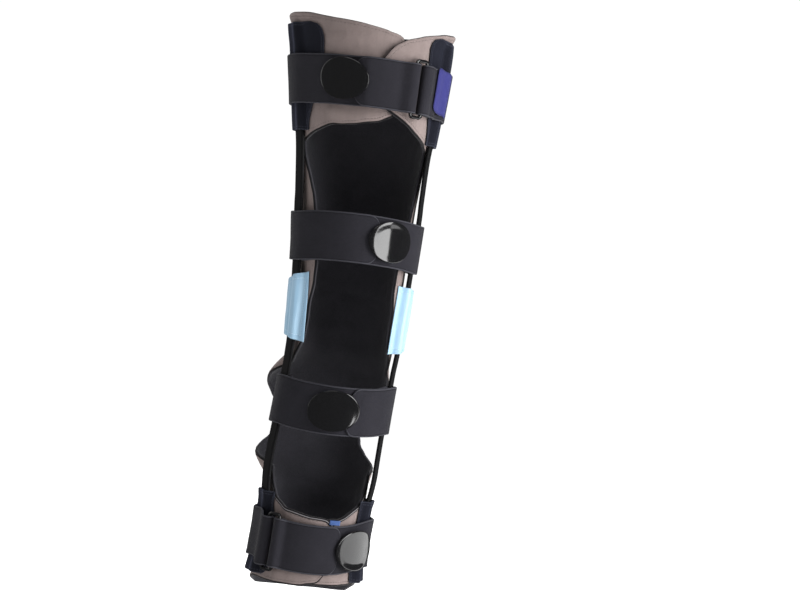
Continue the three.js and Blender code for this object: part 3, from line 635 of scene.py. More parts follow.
def panel_lift(angle, height):
    """How far the panel stands off the form: the upper wing over the lower, the top corners that
    flare out over the stays, and the calf's swell."""
    at = height / HALF_LENGTH
    reach = np.abs(180 - angle)
    inner = angle < 180
    upper = np.where(at > 0, inner, ~inner) & (np.abs(at) > 0.5)
    rise = np.where(upper, WING_STEP * np.clip((reach - CLIMB_START) / CLIMB, 0, 1), 0)
    calf = bell(at, SWELL_AT, SWELL_REACH) * bell(np.maximum(reach, 60), 60, 32)
    start = np.where(inner, *FLARE_START)
    flare = np.clip((at - start) / (1 - start), 0, 1) * bell(reach, 92, 44) * np.where(inner, *FLARE)
    return rise + flare + calf * (SWELL_INNER + SWELL_MORE * smooth(angle - 180, -60, 60))


print("panel lift behind the calf:", panel_lift(np.array([150.0, 180, 210]), -112.0).round(1).tolist())

# %% [markdown]
# Foam cloth never lies quite smooth. Where a strap pulls, the panel is pressed in and swells beside
# it, and slack makes a few long soft creases. The creases are a short table of ridges: each has a
# middle, a direction, a length, a width and a rise. They stay out of the places that other pieces
# cover, so nothing pokes through.

# %% Creases and strap pressure
THIGH_STRAP_AT = 233.0
CALF_STRAP_AT = -231.0
CALF_STRAP_ARCH = -9.6
STAY_REACH = 180 - STAY_ANGLE
# Columns: reach, height, slant in degrees from level, half length, half width, rise.
CREASES = np.array([
    (-152, 268, -14, 34, 5.0, 1.5), (-160, 196, 24, 30, 4.5, 1.3), (-146, 206, 38, 26, 4.0, -1.2),
    (150, 276, 8, 40, 5.0, 1.4), (162, 198, -12, 36, 4.5, 1.5), (150, 190, -24, 28, 4.0, -1.2),
    (186, 201, -6, 24, 4.0, 1.2), (178, 265, 6, 30, 4.5, -1.0), (-30, 262, 12, 46, 7.0, 1.6),
    (26, 186, -10, 50, 7.0, 1.8), (-18, 130, 16, 46, 7.0, 1.7), (20, 76, -8, 44, 6.0, 1.5),
    (-6, 20, 4, 52, 6.0, 2.0), (4, -18, -5, 50, 6.0, -1.8), (-20, -60, 12, 34, 6.0, 1.5),
    (30, 40, 18, 30, 5.0, 1.2), (10, -190, -8, 40, 5.5, 1.5), (-26, -262, 10, 36, 5.5, 1.4),
    (24, -276, -6, 36, 5.0, 1.2), (158, -205, -8, 26, 3.6, 1.0), (184, -215, -6, 20, 3.4, 1.0),
    (150, -268, 8, 30, 4.0, 1.2), (182, -264, 10, 22, 3.6, 1.0), (-146, 230, 70, 24, 6.0, -0.6),
    (132, 60, 74, 40, 5.0, 0.8), (-132, 50, -74, 40, 5.0, 0.8),
])


def crease_lift(reach, height):
    """The sum of the ridges: rise times a bell along the ridge times a bell across it. The scale
    turns degrees into millimetres, near enough for a crease."""
    total = np.zeros_like(reach)
    scale = 1.15
    for at, up, slant, long, wide, rise in CREASES:
        c, s = math.cos(math.radians(slant)), math.sin(math.radians(slant))
        dx, dz = (reach - at) * scale, height - up
        along, away = dx * c + dz * s, -dx * s + dz * c
        total += rise * np.exp(-(along / long) ** 2 - (away / wide) ** 2)
    slack = 0.5 * np.sin(reach * 0.061 + height * 0.031) * np.sin(height * 0.047 - reach * 0.023 + 1.3)
    return total + slack


def panel_relief(reach, height):
    """Under a cuff strap the panel goes in, and beside it out: two bells of the distance from the
    strap's middle. The creases stay where no pad, sleeve or stay lies over the panel."""
    calf_at = CALF_STRAP_AT + CALF_STRAP_ARCH * front_share(180 + reach)
    gap = np.minimum(np.abs(height - THIGH_STRAP_AT), np.abs(height - calf_at))
    under = 1 - smooth(gap, 21, 29)
    beside = np.exp(-((gap - 36) / 7) ** 2)
    bare = smooth(np.abs(np.abs(reach) - STAY_REACH), 35, 42)
    lift = (1 - under) * bare * (crease_lift(reach, height) + 0.9 * beside) - 0.7 * under
    return np.where(np.abs(reach) > 142, np.clip(lift, -0.9, 2.4), lift)


print("pressed in under the thigh strap:", panel_relief(np.zeros(1), THIGH_STRAP_AT).round(2))

# %% Grid lines that crowd at the edges


def crowded(length, step, edge=(0.35, 0.9, 1.8, 3.0)):
    """Shares of a length: even steps inside, and a few close lines at both ends, so that the
    rounded edge has points to bend on."""
    near = np.array([0.0, *edge])
    count = max(int(round((length - 2 * edge[-1]) / step)), 2) + 1
    inside = np.linspace(edge[-1], length - edge[-1], count)
    return np.concatenate([near[:-1], inside, length - near[:-1][::-1]]) / length


def wing_columns(start, stop):
    """Reaches from the wing's root to its tip, close together at the tip."""
    tip = np.array([3.0, 1.8, 0.9, 0.35, 0.0])
    body = np.linspace(start, stop - tip[0], int((stop - start) / LINE_STEP))[1:]
    return np.concatenate([body, stop - tip[1:]])


across_share = crowded(250, 3.0)
print("columns behind the knee:", len(across_share))

# %% The three grids of the panel, joined


def cuff_grid(inner, outer, corner, rows):
    """Reach and height at each point: reach is the column's, height slides from the lower edge to
    the upper edge."""
    left = -wing_columns(corner, inner[-1, 0])[::-1]
    right = wing_columns(corner, outer[-1, 0])
    reach = np.concatenate([left, -corner + 2 * corner * across_share, right])
    top, bottom = (np.where(reach < 0, curve(inner, k, -reach), curve(outer, k, reach)) for k in (1, 2))
    height = (bottom + (top - bottom) * rows[:, None]) * HALF_LENGTH
    return np.broadcast_to(reach, height.shape), height, slice(len(left), len(left) + len(across_share))


thigh_reach, thigh_height, thigh_middle = cuff_grid(
    THIGH_INNER, THIGH_OUTER, THIGH_CORNER, crowded(140, 3.4)
)
calf_reach, calf_height, calf_middle = cuff_grid(CALF_INNER, CALF_OUTER, CALF_CORNER, crowded(128, 3.4))
waist_share = np.linspace(WAIST_TOP, WAIST_BOTTOM, 94)[1:-1]
waist_inner, waist_outer = curve(SIDE, 1, waist_share), curve(SIDE, 2, waist_share)
waist_reach = -waist_inner[:, None] + (waist_inner + waist_outer)[:, None] * across_share
waist_height = np.repeat(waist_share[:, None] * HALF_LENGTH, len(across_share), 1)

thigh_index = np.arange(thigh_reach.size).reshape(thigh_reach.shape)
calf_index = np.arange(calf_reach.size).reshape(calf_reach.shape) + thigh_reach.size
waist_index = np.arange(waist_reach.size).reshape(waist_reach.shape) + thigh_reach.size + calf_reach.size
joined = np.concatenate([calf_index[-1:, calf_middle], waist_index[::-1], thigh_index[:1, thigh_middle]])
panel_faces = np.concatenate([grid_faces(g) for g in (calf_index, joined, thigh_index)])
panel_reach = np.concatenate([g.ravel() for g in (thigh_reach, calf_reach, waist_reach)])
panel_height = np.concatenate([g.ravel() for g in (thigh_height, calf_height, waist_height)])
print("panel net:", len(panel_reach), "points,", len(panel_faces), "faces")

# %% [markdown]
# The edge distance is measured on the panel laid flat, because the wings overlap when it is worn:
# in space a point of the upper wing is close to the lower wing's edge, though it isn't near its
# own. Flat, a point's place is its reach times the leg's mean radius, and its height.

# %% Distance to the panel's edge


def outline_measures(flat, faces, chunk=2000):
    """For every point of a flat net: the distance to the nearest point of the outline, and how far
    along the outline that is. The outline is walked edge by edge to give it a length."""
    edges = free_edges(faces)
    follow = dict(edges.tolist())
    start = edges[0, 0]
    loop = [start]
    while follow[loop[-1]] != start:
        loop.append(follow[loop[-1]])
    ring = flat[np.array(loop + [start])]
    step = np.linalg.norm(np.diff(ring, axis=0), axis=1)
    total = np.concatenate([[0], np.cumsum(step)])
    fine = np.linspace(0, total[-1], int(total[-1] / 0.8))
    rim = np.stack([np.interp(fine, total, ring[:, k]) for k in (0, 1)], -1)
    distance, run = np.zeros(len(flat)), np.zeros(len(flat))
    for first in range(0, len(flat), chunk):
        away = np.linalg.norm(flat[first:first + chunk, None] - rim[None], axis=2)
        nearest = away.argmin(1)
        distance[first:first + chunk] = away.min(1)
        run[first:first + chunk] = fine[nearest]
    distance[np.array(loop)] = 0
    return distance, run


mean_radius = curve(LEG_FORM, 1, panel_height / HALF_LENGTH) * FORM_REACH + ON_PANEL
panel_flat = np.stack([np.radians(panel_reach) * mean_radius, panel_height], -1)
panel_edge, panel_run = outline_measures(panel_flat, panel_faces)
print("outline length:", round(panel_run.max()), "mm, deepest point", round(panel_edge.max()), "mm in")

# %% The panel itself
# Degrees from the middle of the back to each of the two long seams.
SEAM_REACH = 30
panel_angle = 180 + panel_reach
panel_out = panel_lift(panel_angle, panel_height) + PANEL / 2 + panel_relief(panel_reach, panel_height)
panel_middle = on_leg(panel_angle, panel_height, panel_out)
radial = on_leg(panel_angle, panel_height, panel_out + 1) - panel_middle
points, solid, side = cloth_solid(panel_middle, panel_faces, panel_edge, PANEL, 2.4, radial)
thin_binding = smooth(panel_height, 240, 262)
# Along the calf cuff's top edge the binding is wider, and the piping value also places a painted
# highlight line there.
calf_top = smooth(panel_height, -245, -230) * (1 - smooth(panel_height, -176, -166))
binding = 1.6 - 1.1 * thin_binding + 1.6 * calf_top
seam = np.radians(np.abs(panel_reach) - SEAM_REACH) * mean_radius
numbers = {"edge": panel_edge, "run": panel_run, "binding": binding, "piping": calf_top, "seam": seam}
wrap_panel = mesh_object(
    "wrap_panel_cloth", "wrap_panel", points, solid, [panel_cloth, panel_lining],
    face_slots=(side > 0).astype(int), values={key: np.tile(value, 2) for key, value in numbers.items()},
)

# %% [markdown]
# ## Pieces that are one grid
# A strap, a pad, a sleeve and a stay are each one sheet of stations: lines round the leg, one above
# the other. The stations are the frame's own, and a smooth curve through them takes away its
# corners. The helper below measures the two directions of the grid, so the UV map is in metres.

# %% A smooth curve through stations, and the sheet made of it


def through(points, step):
    """A smooth path through stations: cubic spans over the chord length, whose slope at a station
    is the mean slope of the two spans beside it. Points are (stations, rows, 3)."""
    gap = np.linalg.norm(np.diff(points, axis=0), axis=2).mean(1)
    at = np.concatenate([[0], np.cumsum(np.maximum(gap, 1e-6))])
    velocity = np.diff(points, axis=0) / np.diff(at)[:, None, None]
    slope = np.concatenate([velocity[:1], velocity, velocity[-1:]])
    before, after = np.diff(at, prepend=at[0] - 1), np.diff(at, append=at[-1] + 1)
    share = (after / (before + after))[:, None, None]
    slope = slope[:-1] * share + slope[1:] * (1 - share)
    fine = np.linspace(0, at[-1], max(int(at[-1] / step), 4) + 1)
    low = np.clip(np.searchsorted(at, fine) - 1, 0, len(at) - 2)
    span = (at[low + 1] - at[low])[:, None, None]
    t = ((fine - at[low])[:, None, None]) / span
    p0, p1, m0, m1 = points[low], points[low + 1], slope[low] * span, slope[low + 1] * span
    h = 2 * t ** 3 - 3 * t ** 2
    return (h + 1) * p0 - h * p1 + (t ** 3 - 2 * t ** 2 + t) * m0 + (t ** 3 - t ** 2) * m1


def lengths(points, axis):
    """Distance travelled along one direction of a grid, from its first line."""
    step = np.linalg.norm(np.diff(points, axis=axis), axis=2)
    start = np.zeros_like(np.take(step, [0], axis))
    return np.concatenate([start, np.cumsum(step, axis=axis)], axis=axis)


def sheet_piece(name, node, finish, middle, thickness, radius=1.1, slot=None, extra=None):
    """A solid sheet from a grid of middle points, with its distance to the nearest edge, its run
    round the outline and its UV map in metres. A slot name, the given one or its finish's name
    without the number that Blender adds because the frame has a material of that name, is worked
    out but not used."""
    along, across = lengths(middle, 0), lengths(middle, 1)
    to_side, to_end = np.minimum(across, across[:, -1:] - across), np.minimum(along, along[-1:] - along)
    edge, run = np.minimum(to_side, to_end), np.where(to_side <= to_end, along, across)
    faces = grid_faces(np.arange(edge.size).reshape(edge.shape))
    flat = middle.reshape(-1, 3)
    points, solid, _ = cloth_solid(flat, faces, edge.ravel(), thickness, radius, flat * (1, 1, 0))
    uv = np.stack([along, across - across[:, -1:] / 2], -1).reshape(-1, 2) * MM
    numbers = {"edge": edge, "run": run, **(extra or {})}
    values = {key: np.tile(value.ravel(), 2) for key, value in numbers.items()}
    slot = slot or finish.name.partition(".")[0]
    return mesh_object(name, node, points, solid, [finish], uv=np.tile(uv, (2, 1)), values=values)


def cross_rows(width, step=4.0):
    """Places across a strap from edge to edge, crowded at the edges."""
    return (crowded(width, step, (0.15, 0.5, 1.1, 2.2)) - 0.5) * width


print("rows across a strap:", len(cross_rows(STRAP_WIDTH)))

# %% [markdown]
# ## The stays
# Each stay is a flat bar with rolled edges and rounded ends. It could be a CAD node with a new
# material, but its frame has square corners, and a soft highlight along a rolled edge is what makes
# a coated bar look like one.

# %% Stays


def stay_bar(side, angle):
    """Rows run up the bar and columns across it. The width narrows along a half circle at the ends."""
    bottom, top = -270.0, 280.0
    height = bottom + (top - bottom) * crowded(top - bottom, 5.0, (0.3, 1.2, 3.0, 6.0, 12.0))
    narrow = rounded(np.minimum(height - bottom, top - height), 9.0, 0.45)
    across = cross_rows(STAY_WIDTH)[None] * narrow[:, None]
    middle = on_leg(angle, height[:, None], stay_lift(height)[:, None] + STAY / 2, across)
    sheet_piece(side + "_stay_bar", side + "_stay", stay_metal, middle, STAY, radius=1.3)


stay_bar("medial", INNER_STAY)
stay_bar("lateral", OUTER_STAY)

# %% [markdown]
# ## Pads and sleeves
# A pad lies on the panel, climbs over the stay and comes down again, so a stay shows as a ridge
# under it. Its line at each height has flat stations on both sides and two raised corners, and the
# smooth curve turns the corners into cloth. The sleeves are made the same way from thinner cloth,
# with slack folds up and down.

# %% A line of cloth over a stay
# Columns: height share, half the spread in degrees.
THIGH_PAD = np.array([
    (0.605, 14), (0.615, 16), (0.65, 18), (0.72, 25), (0.79, 32), (0.86, 35), (0.925, 35),
    (0.947, 33), (0.96, 29), (0.967, 23),
], float)
CALF_PAD = np.array([
    (-0.913, 22), (-0.905, 27), (-0.89, 31), (-0.86, 32), (-0.8, 32), (-0.75, 32), (-0.71, 28),
    (-0.68, 22), (-0.65, 17), (-0.632, 16),
], float)
INNER_CALF_PAD = np.array([
    (-0.913, 18), (-0.905, 20), (-0.89, 22), (-0.86, 24), (-0.8, 24), (-0.75, 23), (-0.71, 21),
    (-0.68, 19), (-0.65, 17), (-0.632, 16),
], float)


def over_stay(angle, height, spread, thickness):
    """Middle points of cloth over a stay, (stations, rows, 3): out from the far edge to the foot,
    up to the hump's two corners, and down to the other side."""
    top = stay_lift(height) + STAY + CLEAR + thickness / 2
    foot = turn_of(HUMP + 4.5, angle, height)
    far = np.maximum(spread, foot + 3)
    turns = [foot + (far - foot) * share for share in (1, 0.67, 0.33, 0)]

    def flat(turn):
        lift = panel_lift(angle + turn, height) + ON_PANEL + thickness / 2
        return on_leg(angle + turn, height, lift)

    hump = ((-HUMP, 0), (0.0, 0.25), (HUMP, 0))
    crown = [on_leg(angle, height, top + rise, side) for side, rise in hump]
    return np.stack([*[flat(-turn) for turn in turns], *crown, *[flat(turn) for turn in turns[::-1]]])


def stay_pad(node, angle, table):
    low, high = table[0, 0] * HALF_LENGTH, table[-1, 0] * HALF_LENGTH
    height = low + (high - low) * crowded(high - low, 3.2, (0.2, 0.6, 1.3, 2.4, 4.0))
    spread = curve(table, 1, height / HALF_LENGTH)
    middle = through(over_stay(angle, height, spread, PAD), LINE_STEP)
    sheet_piece(node + "_cloth", node, pad_cloth, middle, PAD, radius=1.4)


stay_pad("medial_thigh_pad", INNER_STAY, THIGH_PAD)
stay_pad("lateral_thigh_pad", OUTER_STAY, THIGH_PAD)
stay_pad("medial_calf_pad", INNER_STAY, INNER_CALF_PAD)
stay_pad("lateral_calf_pad", OUTER_STAY, CALF_PAD)

# %% Knee sleeves
SLEEVE_SPREAD = 21.0
# The heights of the front and rear edges, above and below the knee.
OUTER_EDGES = {"front": (-33.8, 38.7), "rear": (-25.7, 25.4)}
INNER_EDGES = {"front": (-36.0, 35.0), "rear": (-30.0, 31.3)}


def knee_sleeve(node, angle, edges, seed):
    """The line over the stay at the knee, repeated from the lower edge to the upper edge. Slack
    folds push it out by a sum of sines of the angle, more in the middle than at the hems."""
    middle_height = sum(edges["front"]) / 2
    line = through(over_stay(angle, np.array([middle_height]), SLEEVE_SPREAD, SLEEVE), 1.6)[:, 0]
    place = np.concatenate([[0], np.cumsum(np.linalg.norm(np.diff(line, axis=0), axis=1))])
    place = place / place[-1]
    forward = 1 - place if angle < 180 else place
    low, high = (r + (f - r) * forward for r, f in zip(edges["rear"], edges["front"]))
    rows = crowded(70, 3.0, (0.2, 0.6, 1.2, 2.2))
    height = low[:, None] + (high - low)[:, None] * rows
    shift = on_leg(angle, height, 0.0) - on_leg(angle, middle_height, 0.0)
    middle = line[:, None] + shift * np.array([1, 1, 0.0])
    middle[..., 2] = height
    out = middle[:, :, :2] / np.linalg.norm(middle[:, :, :2], axis=2, keepdims=True)
    hold = np.sin(np.pi * place)[:, None] ** 0.5 * (0.5 + 0.5 * np.sin(np.pi * rows)[None])
    fold = np.sin(place[:, None] * 30 + seed + 1.1 * np.sin(rows[None] * 3.1 + seed))
    fold = fold + 0.45 * np.sin(place[:, None] * 67 + 2 * seed - 2.2 * rows[None])
    middle[..., :2] += out * (0.62 * hold * (fold + 1.45))[..., None]
    # The fold value goes to the satin, which paints the fold valleys darker as shade.
    folds = {"fold": fold * hold}
    piece = sheet_piece(node + "_cloth", node, sleeve_cloth, middle, SLEEVE, radius=0.8, extra=folds)
    width = float(lengths(middle, 0)[-1].mean()) * MM
    tall = float(lengths(middle, 1)[:, -1].mean()) * MM
    print(f"{node}: cut {width * 1000:.0f} by {tall * 1000:.0f} mm")


knee_sleeve("medial_knee_sleeve", INNER_STAY, INNER_EDGES, 0.4)
knee_sleeve("lateral_knee_sleeve", OUTER_STAY, OUTER_EDGES, 2.1)

# %% [markdown]
# ## Straps and webbing
# A strap is one ribbon with a long path: the thigh strap starts at the inner side, goes round the
# back, over the outer stay, through the loop and back over itself to its rounded end. Each station
# is an angle, a lift, a step sideways and a share of the width, as in the frame. Webbing is
# modelled directly: simulated cloth would lose its crisp selvedge.

# %% Station helpers
LOOP_ROD = 3.6
LOOP_SLOT = 10.0
ON_STRAP = ON_PANEL + STRAP / 2
ON_PAD_STRAP = ON_PAD + STRAP / 2
ON_WING = ON_PANEL + WING_STEP + STRAP / 2
OVER_STAY = ON_PAD + STAY + CLEAR + STRAP / 2
FOLD = LOOP_ROD / 2 + STRAP / 2 + 1.2
LOOP_MIDDLE = ON_WING + FOLD + 1
BAR = (LOOP_SLOT + LOOP_ROD) / 2
HUMP_WIDE = HUMP + PAD


def station(angle, lift, across=0.0, narrow=1.0):
    """One place on a strap's path: the two last values are 0 and 1 along most of it."""
    return (angle, lift, across, narrow)


def course(start, stop, lift, end_lift=None):
    """Even stations from one angle to another, the lift sliding with them."""
    count = max(round(abs(stop - start) / 9), 1)
    end_lift = lift if end_lift is None else end_lift
    shares = [k / count for k in range(count + 1)]
    return [station(start + (stop - start) * s, lift + (end_lift - lift) * s) for s in shares]


def fold_round(angle, across, lift, radius, side):
    """Half a turn round a bar: the cosine of the turn goes sideways and its sine upwards."""
    turns = [math.radians(d) for d in (-90, -54, -18, 18, 54, 90)]
    step = [(lift + radius * math.sin(t), across + side * radius * math.cos(t)) for t in turns]
    return [station(angle, *pair) for pair in step]


def rounded_tail(start, end):
    """The last stations, narrowed as a half oval: the root of 1 less the step squared."""
    tail = []
    for s in (0, 0.25, 0.45, 0.63, 0.78, 0.89, 0.96, 1):
        angle, lift = (a + (b - a) * s for a, b in zip(start[:2], end[:2]))
        tail.append(station(angle, lift, 0.0, math.sqrt(1 - (s * 0.97) ** 2) ** 0.8))
    return tail


def mirrored(stations):
    """The same path on the other side of the leg."""
    return [(-angle, lift, -across, narrow) for angle, lift, across, narrow in stations]


print("a loop's fold has a radius of", FOLD, "mm")

# %% The paths of the straps and the webbing
# The angles of the wing's tip, the loop, the strap's end and the tab, counted on past 360 where the
# strap crosses the front, and then the webbing's stations before and after the loop: degrees from
# the loop and millimetres above the wing. The calf's strap is the same path seen in a mirror.
THIGH_CLOSURE = {
    "wing_tip": 356, "ring": 391, "tail": 344, "tab": 337,
    "sewn": [(18, 0.8), (10, 1.5)], "landing": [(14, 4.1), (19, 3.7), (25, 0.2)],
}
CALF_CLOSURE = {
    "wing_tip": 336, "ring": 402, "tail": 333, "tab": 315,
    "sewn": [(10, 0.8)], "landing": [],
}
# Height and arch of each knee strap, the angle of its tail, and the angle and height of its tab.
UPPER_KNEE = {"at": 73.0, "arch": 4.5, "tail": 19, "tab": (30, 77.5)}
LOWER_KNEE = {"at": -93.0, "arch": -5.6, "tail": -11.5, "tab": (-3, -98.6)}
KNEE_TAIL_LIFT = 6.6
# Angle and lift of the knee strap's stations, under and over.
KNEE_FIRST = [(45, 7.6), (30, 4.6), (15, 3.6), (0, 3.2), (-15, 3.4), (-30, 4.1), (-45, 5.9)]
KNEE_BACK = [(-45, 9.2), (-30, 7.1), (-15, 6.2), (0, 5.9)]


def cuff_strap_path(wing_tip, ring, tail, **_):
    """Round the back, over the outer pad and stay, through the loop, and back to the tail."""
    rear, front, foot = OUTER_STAY - 32, OUTER_STAY + 32, wing_tip - 14

    def on_step(angle, extra=0.0):
        share = min(max((angle - foot) / 12, 0), 1)
        return station(angle, ON_STRAP + (ON_WING - ON_STRAP) * share + STRAP_LAYER + extra)

    return [
        *course(117, rear - 17.5, ON_STRAP),
        *course(rear - 5, rear + 5, ON_PAD_STRAP),
        station(OUTER_STAY, OVER_STAY, -HUMP_WIDE),
        station(OUTER_STAY, OVER_STAY, HUMP_WIDE),
        *course(front - 4, front + 3, ON_PAD_STRAP),
        *(course(front + 6, foot, ON_PAD_STRAP, ON_STRAP) if foot > front + 8 else []),
        *course(wing_tip - 2, ring - 12, ON_WING),
        *fold_round(ring, -BAR, LOOP_MIDDLE, FOLD, 1),
        station(ring, LOOP_MIDDLE + FOLD - 0.4, -BAR - LOOP_ROD),
        on_step(ring - 13, 0.6),
        on_step(ring - 20),
        *course(ring - 29, max(wing_tip - 2, tail + 14), ON_WING + STRAP_LAYER),
        *rounded_tail(on_step(tail + 10), on_step(tail)),
    ]


def webbing_path(ring, sewn, landing, **_):
    """From its sewn end under the loop, round the loop's bar, and over the inner stay."""
    at = ring - 360
    return [
        *[station(at + turn, ON_WING + above) for turn, above in sewn],
        *fold_round(at, BAR, LOOP_MIDDLE, FOLD, -1),
        station(at, LOOP_MIDDLE + FOLD - 0.4, BAR + LOOP_ROD),
        *[station(at + turn, ON_WING + above) for turn, above in landing],
        station(INNER_STAY, OVER_STAY, -HUMP_WIDE),
        station(INNER_STAY, OVER_STAY, HUMP_WIDE),
        station(104, ON_PAD_STRAP),
        station(111, ON_PAD_STRAP),
    ]


def knee_strap_path(tail):
    """Sewn round one stay, across the knee, round the other stay and back over itself."""
    under = ON_PANEL + STRAP / 2
    over = RAISED_STAY + STAY + CLEAR + STRAP / 2
    middle, radius, edge = (under + over) / 2, (over - under) / 2, STAY_WIDTH / 2 + STRAP * 0.7
    return [
        station(STAY_ANGLE, under + 0.1, -STAY_WIDTH * 0.66),
        station(STAY_ANGLE, under + 0.1, 0.0),
        *fold_round(STAY_ANGLE, edge, middle, radius, 1),
        station(STAY_ANGLE, over, -edge),
        *[station(*pair) for pair in KNEE_FIRST],
        station(-STAY_ANGLE, under + 0.2, STAY_WIDTH / 2 + 4),
        *fold_round(-STAY_ANGLE, -edge, middle, radius, -1),
        station(-STAY_ANGLE, over, edge),
        *[station(*pair) for pair in KNEE_BACK if pair[0] < tail - 15],
        *rounded_tail((tail - 12, KNEE_TAIL_LIFT - 0.4), (tail, KNEE_TAIL_LIFT)),
    ]


print("stations of the thigh strap:", len(cuff_strap_path(**THIGH_CLOSURE)))

# %% Ribbons


def ribbon(name, node, stations, height, arch):
    """Every station becomes a column of points across the width, at its own angle, lift and
    sideways step, and a smooth curve runs through the columns."""
    angle, lift, across, narrow = (np.array(c)[:, None] for c in zip(*stations))
    rows = cross_rows(STRAP_WIDTH, 5.0)[None]
    middle = on_leg(angle, height + arch * front_share(angle) + rows * narrow, lift, across)
    middle = through(middle, LINE_STEP)
    print(f"{name}: {lengths(middle, 0)[-1].mean():.0f} mm long")
    sheet_piece(name, node, strap_cloth, middle, STRAP)


thigh, calf = (THIGH_STRAP_AT, 0), (CALF_STRAP_AT, CALF_STRAP_ARCH)
upper, lower = knee_strap_path(UPPER_KNEE["tail"]), mirrored(knee_strap_path(LOWER_KNEE["tail"]))
ribbon("thigh_strap_web", "thigh_strap", cuff_strap_path(**THIGH_CLOSURE), *thigh)
ribbon("thigh_loop_web", "thigh_loop_webbing", webbing_path(**THIGH_CLOSURE), *thigh)
ribbon("upper_knee_strap_web", "upper_knee_strap", upper, UPPER_KNEE["at"], UPPER_KNEE["arch"])
ribbon("lower_knee_strap_web", "lower_knee_strap", lower, LOWER_KNEE["at"], LOWER_KNEE["arch"])
ribbon("calf_strap_web", "calf_strap", mirrored(cuff_strap_path(**CALF_CLOSURE)), *calf)
ribbon("calf_loop_web", "calf_loop_webbing", mirrored(webbing_path(**CALF_CLOSURE)), *calf)

# %% [markdown]
# ## Tabs and loops
# The tabs are smooth ovals, a little dished with a rolled rim, moulded in gloss black. Their frame
# is a faceted oval, and gloss shows every facet, so each is made again from a square grid that is
# pressed into a disc: that leaves no pole in the middle for a highlight to catch on. The loops are
# a rounded frame with an oval section.

# %% Oval tabs
TAB_LENGTH = 52.0
TAB_HEIGHT = 42.0
TAB_THICKNESS = 2.4


def oval_tab(node, angle, height, start_lift, end_lift):
    """A square grid of a and b from -1 to 1 becomes a disc: x is a times the root of 1 less half
    of b squared, and y the same the other way round. The rim is raised along a smooth step, so
    the face is a shallow dish."""
    line = np.sin(np.linspace(-1, 1, 45) * np.pi / 2 * 0.96) / np.sin(np.pi / 2 * 0.96)
    a, b = line[:, None], line[None]
    x, y = a * np.sqrt(1 - b ** 2 / 2), b * np.sqrt(1 - a ** 2 / 2)
    radius = np.hypot(x, y)
    across, up = x * TAB_LENGTH / 2, y * TAB_HEIGHT / 2
    lift = start_lift + (end_lift - start_lift) * (0.5 + across / TAB_LENGTH) + TAB_THICKNESS / 2
    lift = lift + 0.4 * smooth(radius, 0.62, 0.93) - 0.35 * (1 - radius ** 2)
    points = on_leg(angle + turn_of(across, angle, height, start_lift), height + up, lift)
    rim = (1 - radius).clip(0).ravel() * TAB_HEIGHT / 2
    flat = points.reshape(-1, 3)
    faces = grid_faces(np.arange(radius.size).reshape(radius.shape))
    points, solid, _ = cloth_solid(flat, faces, rim, TAB_THICKNESS - 0.4, 1.1, flat * (1, 1, 0))
    mesh_object(node + "_oval", node, points, solid, [fastener_plastic])


over_layers = STRAP / 2 + CLEAR
on_pad = ON_PAD_STRAP + over_layers
on_knee = KNEE_TAIL_LIFT + over_layers
on_cuff = ON_WING + STRAP_LAYER + over_layers
calf_tab_at = CALF_STRAP_AT + CALF_STRAP_ARCH * 0.8
oval_tab("thigh_tab", THIGH_CLOSURE["tab"], THIGH_STRAP_AT + 1, on_pad, on_cuff)
oval_tab("upper_knee_tab", *UPPER_KNEE["tab"], on_knee, on_knee + 2)
oval_tab("lower_knee_tab", *LOWER_KNEE["tab"], on_knee, on_knee)
oval_tab("calf_tab", -CALF_CLOSURE["tab"], calf_tab_at, on_cuff, on_cuff + 2)

# %% Loops


def unit(vector):
    """The vector at length 1."""
    return vector / np.linalg.norm(vector)


def strap_loop(node, angle, height, arch):
    """A rounded rectangle swept with an oval section: the outline's point plus the section's
    cosine times the outline's outward direction plus its sine times the loop's own normal."""
    half_wide, half_tall, corner = BAR, STRAP_WIDTH / 2 + 1.5 + LOOP_ROD / 2, 3.2
    corners = []
    for k, (sx, sy) in enumerate([(1, 1), (-1, 1), (-1, -1), (1, -1)]):
        t = np.radians(np.linspace(90 * k, 90 * k + 90, 9))
        mid = np.array([sx * (half_wide - corner), sy * (half_tall - corner)])
        corners.append(mid + corner * np.stack([np.cos(t), np.sin(t)], -1))
    ring = np.concatenate(corners)
    ahead = np.roll(ring, -1, 0) - np.roll(ring, 1, 0)
    side = np.stack([ahead[:, 1], -ahead[:, 0]], -1)
    side /= np.linalg.norm(side, axis=1, keepdims=True)
    t = np.linspace(0, 2 * np.pi, 17)[:-1]
    wide, thick = (np.sign(w) * np.abs(w) ** 0.7 * LOOP_ROD / 2 for w in (np.cos(t), np.sin(t)))
    flat = ring[:, None] + side[:, None] * wide[:, None]

    def strap_at(turn):
        return height + arch * front_share(turn)

    ends = [on_leg(angle, strap_at(angle + s * 4), LOOP_MIDDLE, s * 4.0) for s in (-1, 1)]
    tops = [on_leg(angle, strap_at(angle) + s * STRAP_WIDTH / 2, LOOP_MIDDLE) for s in (-1, 1)]
    up = unit(tops[1] - tops[0])
    along = ends[1] - ends[0]
    along = unit(along - up * (along @ up))
    middle = on_leg(angle, strap_at(angle), LOOP_MIDDLE)
    points = middle + flat[..., :1] * along + flat[..., 1:] * up + thick[:, None] * np.cross(along, up)
    index = np.arange(len(ring) * len(t)).reshape(len(ring), len(t))
    faces = grid_faces(np.pad(index, ((0, 1), (0, 1)), mode="wrap"))
    mesh_object(
        node + "_frame", node, points.reshape(-1, 3), faces, [fastener_plastic]
    )


strap_loop("thigh_loop", THIGH_CLOSURE["ring"] - 360, *thigh)
strap_loop("calf_loop", 360 - CALF_CLOSURE["ring"], *calf)

# %% [markdown]
# ## Labels
# A woven label is sewn on the webbing at the thigh, and a small patch at the edge of the calf wing.
# Both stay bare. They are the same kind of sheet as a strap, thinner.

# %% Labels


